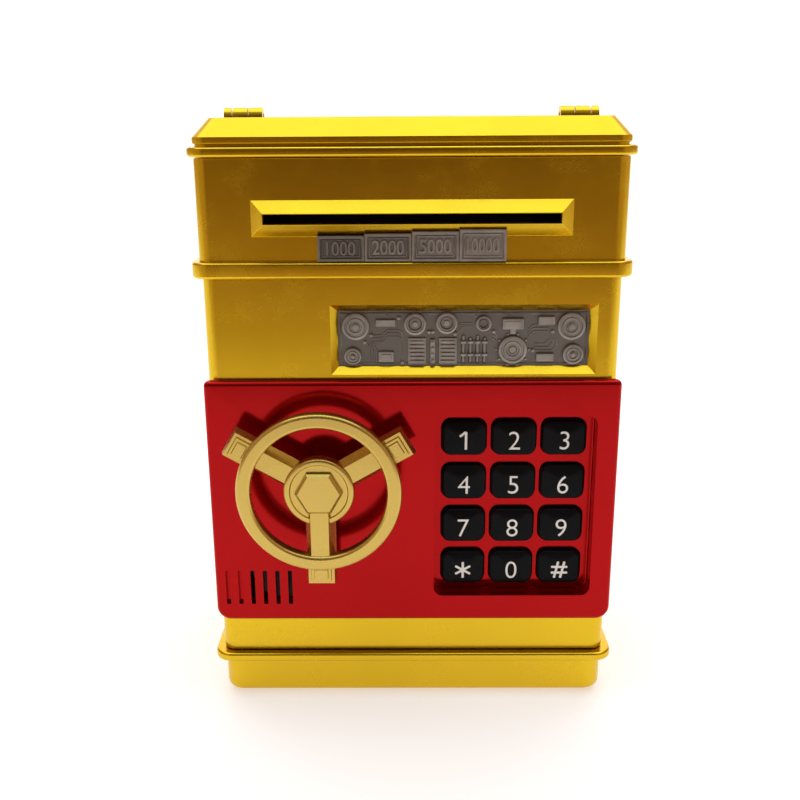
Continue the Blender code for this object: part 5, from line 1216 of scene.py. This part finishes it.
class BANK_OT_cap(bpy.types.Operator):
    """Builds the cap with its flange, bevelled roof, lugs, handle groove and coin slot"""

    bl_idname = "bank.cap"
    bl_label = "Cap"

    def execute(self, context):
        size = sizes()
        flange_top = CAP_LOW.z + 2.9 * MM
        fascia_low = flange_top + 0.8 * MM
        fascia_top = fascia_low + 2.0 * MM
        hinge_y, hinge_z = lug_line()
        roof_top = hinge_z
        side = SIDE + 0.7 * MM
        cap = slab("cap", (CAP_LOW.x, CAP_LOW.y, CAP_LOW.z), (CAP_HIGH.x, CAP_HIGH.y, flange_top),
                   Z, size.rib_corner, 0.8 * MM, 0.8 * MM, steps=8)
        neck = slab("neck", (-SIDE - 0.1 * MM, FRONT - 0.1 * MM, CAP_LOW.z + 1 * MM),
                    (SIDE + 0.1 * MM, REAR + 0.1 * MM, fascia_low + 1 * MM), Z, size.body_corner)
        fascia = slab("fascia", (-side, FRONT - 0.7 * MM, fascia_low),
                      (side, REAR + 0.7 * MM, fascia_top), Z, size.body_corner, 0.4 * MM, steps=8)
        roof = wedge("roof", (-side, FRONT - 0.7 * MM, fascia_top - 0.0002),
                     (side, REAR + 0.7 * MM, roof_top), Z, 1, 4.6 * MM, size.body_corner)
        hollow = slab("hollow", (-SIDE + 1.6 * MM, FRONT + 1.6 * MM, CAP_LOW.z - 5 * MM),
                      (SIDE - 1.6 * MM, REAR - 1.6 * MM, roof_top - 6.4 * MM), Z, 1.8 * MM)
        add(cap, neck, fascia, roof)
        cut(cap, hollow)
        self.lugs(cap, hinge_y, hinge_z)
        coin_low, coin_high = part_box("coin_chute")
        coin_y = (coin_low.y + coin_high.y) / 2
        slot = slab("coin", (-16 * MM, coin_y - 2.4 * MM, CAP_LOW.z), (16 * MM, coin_y + 2.4 * MM,
                    roof_top + 5 * MM), Z, 2.3 * MM, steps=6)
        floor = HANDLE_LOW.z - GAP
        clear = 0.6 * MM
        groove = u_shape("groove", 56.85 * MM + clear, 5.0 * MM + 2 * clear, hinge_y - clear,
                         HANDLE_HIGH.y + clear, floor, roof_top + 5 * MM, 7.6 * MM)
        finger_back = HANDLE_HIGH.y - 5.0 * MM - clear
        finger = slab("finger", (-16 * MM, finger_back - 11 * MM, floor),
                      (16 * MM, finger_back + 1 * MM, roof_top + 5 * MM), Z, 4 * MM)
        cut(cap, groove, finger, slot)
        for way in (-1, 1):
            room = rod("room", (way * 54.2 * MM, hinge_y, hinge_z), X, 3.3 * MM, 5.6 * MM, 48)
            bore = rod("bore", (way * 53.2 * MM, hinge_y, hinge_z), X, 1.2 * MM, 16 * MM, 24)
            cut(cap, room, bore)
        soften(cap, size.soft_edge, 2, 30.0)
        finish(cap, "cap_moulding", "housing", "gold lacquer", ("cap",), angle=30.0)
        refined("coin_chute", "housing", "inner black", 0.2 * MM)
        return {"FINISHED"}

    def lugs(self, cap, hinge_y, hinge_z):
        for way in (-1, 1):
            for low, high in ((57.0, 59.3), (47.1, 51.4)):
                centre = (way * (low + high) / 2 * MM, hinge_y, hinge_z)
                add(cap, rod("lug", centre, X, 3.0 * MM, (high - low) * MM, 48))


class BANK_OT_handle(bpy.types.Operator):
    """Builds the fold-down carry handle and the pins that it turns on"""

    bl_idname = "bank.handle"
    bl_label = "Handle"

    def execute(self, context):
        hinge_y, hinge_z = lug_line()
        high = hinge_z - 0.6 * MM
        bail = u_shape("bail", 56.85 * MM, 5.0 * MM, hinge_y, HANDLE_HIGH.y, HANDLE_LOW.z, high,
                       7.0 * MM)
        soften(bail, 1.1 * MM, 4, 40.0)
        grips = []
        for index in range(9):
            across = (index - 4) * 5.0 * MM
            grips.append(slab("grip", (across - 0.6 * MM, HANDLE_HIGH.y - 5.15 * MM,
                                       HANDLE_LOW.z + 0.9 * MM),
                              (across + 0.6 * MM, HANDLE_HIGH.y - 4.2 * MM, high - 0.9 * MM), Y,
                              0.4 * MM))
        for way in (-1, 1):
            centre = (way * 54.2 * MM, hinge_y, hinge_z)
            trim = cube("trim", (centre[0] - 5 * MM, hinge_y - 8 * MM, hinge_z - 8 * MM),
                        (centre[0] + 5 * MM, hinge_y, hinge_z - 3.2 * MM))
            eye = rod("eye", centre, X, 3.0 * MM, 4.9 * MM, 48)
            soften(eye, 0.35 * MM, 2, 40.0)
            bore = rod("bore", centre, X, 1.2 * MM, 12 * MM, 24)
            cut(bail, trim)
            add(bail, eye)
            cut(bail, bore)
        gather(bail, *grips)
        finish(bail, "handle_moulding", "carry_handle", "gold lacquer", ("handle",))
        for side in ("left", "right"):
            refined(f"handle_pin_{side}", "housing", "drawn steel")
        return {"FINISHED"}


# --- Door -------------------------------------------------------------------------------------


def key_boxes():
    """The name and CAD box of each key."""
    for name in ("1", "2", "3", "4", "5", "6", "7", "8", "9", "star", "0", "hash"):
        yield name, *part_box(f"key_{name}")


class BANK_OT_door(bpy.types.Operator):
    """Builds the door with its keypad well, key holes, vents and hinge knuckles"""

    bl_idname = "bank.door"
    bl_label = "Door"

    def execute(self, context):
        size = sizes()
        plate_back = DOOR_LOW.y + 2.7 * MM
        door = self.plate(plate_back)
        collar_low = Vector((BACK_LOW.x - 1.2 * MM, plate_back - 0.5 * MM, BACK_LOW.z))
        collar_high = Vector((BACK_HIGH.x + 0.1 * MM, DOOR_HIGH.y, BACK_HIGH.z))
        wall = Vector((1.6 * MM, 0, 1.6 * MM))
        collar = cube("collar", collar_low, collar_high)
        hollow = cube("hollow", collar_low + wall + Vector((0, 0.5 * MM, 0)),
                      collar_high - wall + Vector((0, 2 * MM, 0)))
        cut(collar, hollow)
        add(door, collar)
        self.knuckles(door, plate_back)
        self.well(door, collar_high.x)
        bolt_low, bolt_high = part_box("lock_bolt")
        bolt_hole = cube("bolt_hole", (collar_low.x - 2 * MM, bolt_low.y - GAP, bolt_low.z - GAP),
                         (collar_low.x + 3.6 * MM, bolt_high.y + GAP, bolt_high.z + GAP))
        shaft_low, shaft_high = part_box("wheel_shaft")
        shaft = (shaft_low + shaft_high) / 2
        boss = rod("boss", (shaft.x, plate_back + 1.5 * MM, shaft.z), Y, 4.5 * MM, 3.4 * MM)
        add(door, boss)
        hole = rod("shaft_hole", (shaft.x, plate_back, shaft.z), Y, 2.3 * MM, 20 * MM)
        cut(door, bolt_hole, hole)
        self.vents(door, collar_low.x)
        soften(door, size.soft_edge, 2, 40.0)
        finish(door, "door_moulding", "door", "red gloss", ("door_shell",))
        refined("door_back", "door", "inner black", 0.3 * MM)
        refined("key_mat", "door", "silicone", 0.3 * MM)
        refined("key_board", "door", "circuit board", 0.1 * MM)
        refined("speaker", "door", "inner black")
        pattern = screw("door_screw_1", Y, 1)
        for number in (1, 2):
            place_copy(pattern, "door_screw_1", f"door_screw_{number}", "door", "turned steel")
        discard(pattern)
        return {"FINISHED"}

    def plate(self, plate_back):
        """The front plate: large corners at its foot, small ones at its head."""
        obj = cube("door", DOOR_LOW, (DOOR_HIGH.x, plate_back, DOOR_HIGH.z))
        edit(obj)
        middle = (DOOR_LOW.z + DOOR_HIGH.z) / 2
        pick(obj, "EDGE", lambda edge: runs_along(Y)(edge) and edge.verts[0].co.z < middle)
        round_picked(4.5 * MM, 10)
        pick(obj, "EDGE", lambda edge: runs_along(Y)(edge) and edge.verts[0].co.z > middle)
        round_picked(1.6 * MM, 5)
        pick(obj, "EDGE", lies_at(Y, DOOR_LOW.y))
        round_picked(1.4 * MM, 5)
        leave()
        return obj

    def knuckles(self, door, plate_back):
        for number in (1, 2):
            low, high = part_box(f"hinge_pin_{number}")
            middle = (low + high) / 2
            arm = cube("arm", (middle.x - 1.4 * MM, plate_back - 0.6 * MM, middle.z - 4 * MM),
                       (middle.x + 1.4 * MM, middle.y, middle.z + 4 * MM))
            barrel = rod("barrel", middle, Z, 1.9 * MM, 7.98 * MM, 40)
            bore = rod("bore", middle, Z, 1.2 * MM, 12 * MM, 24)
            add(door, arm, barrel)
            cut(door, bore)

    def well(self, door, collar_right):
        """The sunk keypad, with a rounded rim and a hole for each key."""
        boxes = list(key_boxes())
        left = min(low.x for _, low, _ in boxes)
        right = max(high.x for _, _, high in boxes)
        foot = min(low.z for _, low, _ in boxes)
        head = max(high.z for _, _, high in boxes)
        centre_x, centre_z = (left + right) / 2, (foot + head) / 2
        floor = DOOR_LOW.y + 6.0 * MM
        half_x, half_z = 25.6 * MM, 30.9 * MM
        wall = 1.2 * MM
        box_low = (centre_x - half_x - wall, DOOR_LOW.y + 2.3 * MM, centre_z - half_z - wall)
        box_high = (collar_right - 0.1 * MM, floor + 1.6 * MM, centre_z + half_z + wall)
        box = cube("well_box", box_low, box_high)
        well = slab("well", (centre_x - half_x, DOOR_LOW.y - 2 * MM, centre_z - half_z),
                    (centre_x + half_x, floor, centre_z + half_z), Y, 3.0 * MM, 0.0, 0.5 * MM,
                    steps=8, edge_steps=2)
        holes = []
        for _, low, high in boxes:
            x, z = (low.x + high.x) / 2, (low.z + high.z) / 2
            holes.append(slab("hole", (x - 7.4 * MM, floor - 1 * MM, z - 6.15 * MM),
                              (x + 7.4 * MM, floor + 3 * MM, z + 6.15 * MM), Y, 3.2 * MM,
                              steps=8))
        add(door, box)
        cut(door, well, *holes)

    def vents(self, door, collar_left):
        for index in range(6):
            x = DOOR_LOW.x + 4.2 * MM + index * 4.1 * MM
            low = DOOR_LOW.z + 6.0 * MM
            through = x > collar_left + 3.0 * MM
            depth = 3.7 * MM if through else 1.7 * MM
            slot = slab("vent", (x - 0.7 * MM, DOOR_LOW.y - 2 * MM, low),
                        (x + 0.7 * MM, DOOR_LOW.y + depth, low + 12.0 * MM), Y, 0.35 * MM, steps=3)
            cut(door, slot)


class BANK_OT_keys(bpy.types.Operator):
    """Builds the twelve crowned keys and their printed signs"""

    bl_idname = "bank.keys"
    bl_label = "Keys"

    def execute(self, context):
        pattern = self.key(*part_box("key_1"))
        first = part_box("key_1")[0]
        for name, low, high in key_boxes():
            key = copy_of(pattern, f"key_{name}_cap", low - first)
            body = f"button_{name}"
            finish(key, f"key_{name}_cap", body, "black gloss", (f"key_{name}",))
            sign = self.sign(name, low, high)
            finish(sign, f"key_{name}_sign", body, "white print")
        discard(pattern)
        return {"FINISHED"}

    def key(self, low, high):
        """A pillow-shaped key: rounded corners, a soft shoulder and a crowned face."""
        size = sizes()
        middle = (low + high) / 2
        half_x, half_z = 7.05 * MM, 5.8 * MM
        front = low.y + size.key_crown
        key = slab("key", (middle.x - half_x, front, middle.z - half_z),
                   (middle.x + half_x, high.y - 0.3 * MM, middle.z + half_z), Y, 2.85 * MM,
                   1.1 * MM, 0.0, steps=8, edge_steps=5)
        edit(key)
        pick(key, "FACE", lies_at(Y, front))
        for rise, width in ((0.5, 0.76), (0.32, 0.7), (0.18, 0.55)):
            step = (0, -size.key_crown * rise, 0)
            bpy.ops.mesh.extrude_region_move(TRANSFORM_OT_translate={"value": step})
            bpy.ops.transform.resize(value=(width, 1.0, width), center_override=middle)
        leave()
        flange = slab("flange", (low.x, high.y - 0.8 * MM, low.z), high, Y, 0.6 * MM, 0.15 * MM)
        add(key, flange)
        return key

    def sign(self, name, low, high):
        """The numeral, or a drawn star or hash sign, just proud of the key's face."""
        height = sizes().numeral_height
        centre = Vector(((low.x + high.x) / 2, low.y + 0.2 * MM, (low.z + high.z) / 2 - 0.6 * MM))
        if name == "1":
            upright = self.stroke(centre, height, 90.0, (0.5 * MM, 0))
            flag = self.stroke(centre, height * 0.42, 38.0, (-0.5 * MM, height * 0.36))
            return add(upright, flag)
        if name.isdigit():
            return glyph("sign", name, height, centre, 0.5 * MM, -0.008, 0.98)
        if name == "star":
            angles = (90.0, 150.0, 210.0)
            bars = [self.stroke(centre, height * 0.95, angle, (0, 0)) for angle in angles]
        else:
            gap = height * 0.17
            bars = [self.stroke(centre, height, 78.0, (way * gap, 0)) for way in (-1, 1)]
            bars += [self.stroke(centre, height * 0.9, 0.0, (0, way * gap)) for way in (-1, 1)]
        return add(*bars)

    def stroke(self, centre, length, degrees, shift):
        """One bar of a drawn sign, at an angle to the horizontal."""
        half = 0.4 * MM
        low = centre + Vector((-length / 2 + shift[0], -0.25 * MM, -half + shift[1]))
        high = centre + Vector((length / 2 + shift[0], 0.25 * MM, half + shift[1]))
        bar = slab("stroke", low, high, Y, 0.2 * MM, 0.05 * MM, 0.0, steps=2, edge_steps=1)
        middle = (low + high) / 2
        return turn_about(bar, middle, "Y", -math.radians(degrees))


# --- Handwheel --------------------------------------------------------------------------------


class BANK_OT_wheel(bpy.types.Operator):
    """Builds the handwheel: rim, hub with its hexagon, three spokes and stepped tabs"""

    bl_idname = "bank.wheel"
    bl_label = "Handwheel"

    def execute(self, context):
        shaft_low, shaft_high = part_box("wheel_shaft")
        middle = (shaft_low + shaft_high) / 2
        self.centre = Vector((middle.x, WHEEL_LOW.y, middle.z))
        rim = self.rim()
        shapes = [self.hub()]
        for degrees in (90.0, 210.0, 330.0):
            shapes += self.spoke(degrees)
        shapes.append(self.hexagon())
        add(rim, *shapes)
        socket = rod("socket", (middle.x, WHEEL_HIGH.y - 2.5 * MM, middle.z), Y, 2.3 * MM, 9 * MM)
        cut(rim, socket)
        soften(rim, 0.22 * MM, 2, 34.0)
        finish(rim, "wheel_moulding", "wheel", "wheel gold", ("handwheel",))
        refined("wheel_shaft", "wheel", "nylon")
        return {"FINISHED"}

    def at(self, back, across=0.0, up=0.0):
        return self.centre + Vector((across * MM, back * MM, up * MM))

    def rim(self):
        """A flat ring with a rounded outer and inner edge."""
        depth = 5.0
        ring = rod("rim", self.at(depth / 2), Y, 25.5 * MM, depth * MM, 128)
        hole = rod("rim_hole", self.at(depth / 2), Y, 20.9 * MM, 9.0 * MM, 128)
        cut(ring, hole)
        edit(ring)
        for back, radius in ((0.0, 1.15), (depth, 1.9)):
            pick(ring, "EDGE", self.runs_round(self.at(back)))
            round_picked(radius * MM, 4)
        leave()
        return ring

    def runs_round(self, middle):
        """Picks the edges in this plane whose ends are equally far from its middle."""
        flat = lies_at(Y, middle.y)

        def keep(edge):
            first, second = ((vert.co - middle).length for vert in edge.verts)
            return flat(edge) and abs(first - second) < 0.01 * MM

        return keep

    def hub(self):
        """The hub's drum, with a sunk ring round its middle and a narrower neck behind."""
        drum = rod("hub", self.at(3.4), Y, 10.9 * MM, 3.8 * MM, 96)
        front = self.at(1.5).y
        edit(drum)
        pick(drum, "EDGE", lies_at(Y, front))
        round_picked(0.9 * MM, 4)
        pick(drum, "FACE", lies_at(Y, front))
        terrace((0.9, 0.0), (0.3, -0.45))
        leave()
        neck = rod("neck", self.at(8.8), Y, 7.0 * MM, 8.0 * MM, 64)
        return add(drum, neck)

    def hexagon(self):
        """The raised hexagon, with a flat side uppermost."""
        boss = rod("hexagon", self.at(1.4), Y, 7.4 * MM, 2.8 * MM, 6, math.radians(30.0))
        edit(boss)
        pick(boss, "EDGE", lies_at(Y, self.at(0.0).y))
        round_picked(0.8 * MM, 1)
        leave()
        return boss

    def spoke(self, degrees):
        """A spoke with sloping sides, and the stepped tab that stands out past the rim."""
        angle = math.radians(degrees - 90.0)
        low, high = self.at(2.6, -4.7, -23.9), self.at(6.0, 4.7, -7.5)
        panel = wedge("spoke", low, high, Y, -1, 1.9 * MM)
        tab = self.tab()
        shapes = [panel, tab]
        if degrees == 90.0:
            low, high = self.at(0.9, -4.3, -23.2), self.at(3.4, 4.3, -3.0)
            shapes.append(wedge("key_bar", low, high, Y, -1, 1.5 * MM))
        return [turn_about(shape, self.centre, "Y", angle) for shape in shapes]

    def tab(self):
        """Two square steps, one on the other, that run in under the rim."""
        front = self.at(3.0).y
        tab = wedge("tab", self.at(3.0, -4.8, -31.8), self.at(6.4, 4.8, -23.2), Y, -1, 0.7 * MM)
        edit(tab)
        pick(tab, "FACE", lies_at(Y, front))
        terrace((0.85, 0.0), (0.25, 0.7), (0.75, 0.0), (0.25, 0.6))
        leave()
        return tab


# --- Inner pieces -----------------------------------------------------------------------------


class BANK_OT_lock(bpy.types.Operator):
    """Finishes the bolt, the solenoid and its pin"""

    bl_idname = "bank.lock"
    bl_label = "Lock"

    def execute(self, context):
        refined("lock_bolt", "bolt", "drawn steel", 0.2 * MM)
        refined("lock_pin", "latch_pin", "upright steel")
        refined("solenoid", "door", "upright steel", 0.2 * MM)
        return {"FINISHED"}


class BANK_OT_feed(bpy.types.Operator):
    """Finishes the note feed: frame, rollers, gears, motor and chute"""

    bl_idname = "bank.feed"
    bl_label = "Note feed"

    def execute(self, context):
        refined("roller_frame", "housing", "inner grey", 0.15 * MM)
        refined("drive_shaft", "drive_roller", "drawn steel")
        refined("drive_tyre", "drive_roller", "rubber", 0.3 * MM)
        refined("drive_gear", "drive_roller", "nylon", 0.08 * MM)
        refined("pinch_roller", "idle_roller", "inner grey", 0.2 * MM)
        refined("feed_motor", "housing", "drawn steel", 0.4 * MM)
        refined("motor_pinion", "motor_gear", "nylon", 0.06 * MM)
        refined("note_chute", "housing", "inner black", 0.15 * MM)
        return {"FINISHED"}


class BANK_OT_battery(bpy.types.Operator):
    """Builds the battery cover, and finishes the box and its cells"""

    bl_idname = "bank.battery"
    bl_label = "Battery box"

    def execute(self, context):
        plate_low = COVER_HIGH.y - 1.4 * MM
        cover = slab("cover", (COVER_LOW.x, plate_low, COVER_LOW.z), COVER_HIGH, Y, 2.0 * MM, 0.0,
                     0.5 * MM)
        inset = 2.6 * MM
        plug = slab("plug", (COVER_LOW.x + inset, COVER_LOW.y, COVER_LOW.z + inset),
                    (COVER_HIGH.x - inset, plate_low + 0.4 * MM, COVER_HIGH.z - inset), Y, 2.0 * MM)
        add(cover, plug)
        centre_x = (COVER_LOW.x + COVER_HIGH.x) / 2
        grips = []
        for index in range(5):
            z = COVER_HIGH.z - 6.0 * MM - index * 1.7 * MM
            half = (9.0 - 1.1 * index) * MM
            grips.append(slab("grip", (centre_x - half, COVER_HIGH.y - 0.5 * MM, z - 0.4 * MM),
                              (centre_x + half, COVER_HIGH.y + 1 * MM, z + 0.4 * MM), Y, 0.38 * MM))
        cut(cover, *grips)
        soften(cover, 0.18 * MM, 2, 40.0)
        finish(cover, "battery_cover_moulding", "rear_cover", "gold lacquer", ("battery_cover",))
        refined("battery_box", "housing", "inner black", 0.2 * MM)
        for number in (1, 2, 3):
            low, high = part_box(f"cell_{number}")
            refined(f"cell_{number}", "housing", sleeve(f"cell sleeve {number}", low.x, high.x),
                    0.35 * MM)
        return {"FINISHED"}


# --- Stage ------------------------------------------------------------------------------------


class BANK_OT_stage(bpy.types.Operator):
    """Lays the pale floor with its backdrop, and places the lights and the camera"""

    bl_idname = "bank.stage"
    bl_label = "Stage"

    def execute(self, context):
        self.floor()
        self.lights()
        self.world()
        self.camera()
        return {"FINISHED"}

    def floor(self):
        """A floor that sweeps up into a backdrop behind the bank."""
        begin()
        bpy.ops.mesh.primitive_plane_add(size=1.0, location=(0, 0, 0))
        floor = bpy.context.object
        floor.name = "studio_floor"
        floor.scale = (3.6, 1.9, 1.0)
        floor.location = (0, 0.5, 0)
        settle()
        back = max(vert.co.y for vert in floor.data.vertices)
        edit(floor)
        pick(floor, "EDGE", lies_at(Y, back))
        bpy.ops.mesh.extrude_region_move(TRANSFORM_OT_translate={"value": (0, 0.25, 1.9)})
        pick(floor, "EDGE", lies_at(Y, back))
        round_picked(0.6, 16)
        leave()
        bpy.ops.object.shade_smooth()
        graph = new_graph("studio paper")
        colour = tuple(colours().floor)
        fibres = graph.noise(40.0, 4.0)
        tone = graph.mixed(fibres * 0.3, colour, shaded(colour, 0.98))
        floor.data.materials.append(
            graph.finish(
                Base_Color=tone,
                Roughness=0.9,
                Specular_IOR_Level=0.1,
                Emission_Color=(1.0, 1.0, 1.0, 1.0),
                Emission_Strength=0.45,
            )
        )

    def lights(self):
        cool = (0.82, 0.96, 1.0)
        self.panel("overhead", (0.0, 0.1, 1.2), (1.6, 1.2), 11.0, (0, 0.1, 0), cool)
        self.panel("rear", (0.0, 0.9, 1.3), (2.4, 0.6), 10.0, (0, 1.7, 0.4), (1, 1, 1))

    def panel(self, name, place, size, power, target, colour):
        begin()
        bpy.ops.object.light_add(type="AREA", location=place)
        light = bpy.context.object
        light.name = name
        light.data.shape = "RECTANGLE"
        light.data.size, light.data.size_y = size
        light.data.energy = power
        light.data.color = colour
        aim = Vector(target) - Vector(place)
        light.rotation_euler = aim.to_track_quat("-Z", "Y").to_euler()

    def world(self):
        """A dim warm room in front of the bank, lighter to each side and towards the floor."""
        world = bpy.data.worlds.new("studio room")
        bpy.context.scene.world = world
        graph = Graph(world, "Background", "Generated")
        height = graph.axis("Z")
        aside = graph.axis("X").magnitude()
        room = graph.node(
            "ShaderNodeValToRGB",
            {"stops": (
                (0.0, (0.9, 0.86, 0.8, 1)),
                (0.28, (0.62, 0.42, 0.32, 1)),
                (0.37, (0.36, 0.2, 0.16, 1)),
                (0.42, (0.17, 0.075, 0.06, 1)),
                (0.48, (0.06, 0.02, 0.015, 1)),
                (0.8, (0.04, 0.02, 0.015, 1)),
                (1.0, (0.3, 0.3, 0.3, 1)),
            )},
            {0: height.span(-0.6, 0.6)},
        )
        sides = graph.mixed(aside.between(0.1, 0.5), room, (0.5, 0.33, 0.24, 1))
        seen = graph.node("ShaderNodeLightPath", output="Is Camera Ray")
        shown = graph.mixed(seen, sides, (0.95, 0.95, 0.95, 1))
        graph.finish(Color=shown, Strength=1.0)

    def camera(self):
        begin()
        bpy.ops.object.camera_add()
        camera = bpy.context.object
        camera.name = "camera"
        yaw, pitch, roll = (math.radians(angle) for angle in (0.5, 16.36, -0.35))
        right = Vector((math.cos(yaw), math.sin(yaw), 0.0))
        ahead = Vector((-math.sin(yaw) * math.cos(pitch), math.cos(yaw) * math.cos(pitch),
                        -math.sin(pitch)))
        up = right.cross(ahead)
        right, up = (right * math.cos(roll) + up * math.sin(roll),
                     up * math.cos(roll) - right * math.sin(roll))
        turn = Matrix((right, up, -ahead)).transposed()
        camera.location = (-1.3 * MM, -338.2 * MM, 191.7 * MM)
        camera.rotation_euler = turn.to_euler()
        camera.data.lens = sizes().lens
        camera.data.sensor_width = 36.0
        camera.data.clip_start = 0.01
        camera.data.clip_end = 20.0
        bpy.context.scene.camera = camera
        bpy.context.scene.view_settings.view_transform = "Standard"


BUILDERS = (
    BANK_OT_stage,
    BANK_OT_base,
    BANK_OT_body,
    BANK_OT_head,
    BANK_OT_tiles,
    BANK_OT_relief,
    BANK_OT_cap,
    BANK_OT_handle,
    BANK_OT_door,
    BANK_OT_keys,
    BANK_OT_wheel,
    BANK_OT_lock,
    BANK_OT_feed,
    BANK_OT_battery,
)


class BANK_PT_panel(bpy.types.Panel):
    """Lists the builders, the sizes and the colours"""

    bl_idname = "BANK_PT_panel"
    bl_label = "Coin Bank"
    bl_space_type = "VIEW_3D"
    bl_region_type = "UI"
    bl_category = "Coin Bank"

    def draw(self, context):
        column = self.layout.column(align=True)
        for builder in BUILDERS:
            column.operator(builder.bl_idname)
        for group in (context.scene.bank_sizes, context.scene.bank_colours):
            box = self.layout.box()
            for key in group.__annotations__:
                box.prop(group, key)


CLASSES = (BankSizes, BankColours, *BUILDERS, BANK_PT_panel)


def register():
    for kind in CLASSES:
        bpy.utils.register_class(kind)
    bpy.types.Scene.bank_sizes = bpy.props.PointerProperty(type=BankSizes)
    bpy.types.Scene.bank_colours = bpy.props.PointerProperty(type=BankColours)


def unregister():
    del bpy.types.Scene.bank_colours
    del bpy.types.Scene.bank_sizes
    for kind in reversed(CLASSES):
        bpy.utils.unregister_class(kind)


def main():
    register()
    for name in ("Cube", "Light", "Camera"):
        if name in bpy.data.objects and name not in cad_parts:
            bpy.data.objects.remove(bpy.data.objects[name])
    for builder in BUILDERS:
        step = getattr(bpy.ops.bank, builder.bl_idname.split(".")[1])
        if step() != {"FINISHED"}:
            raise RuntimeError(f"{builder.bl_label} didn't finish")
    begin()


if __name__ == "__main__":
    main()
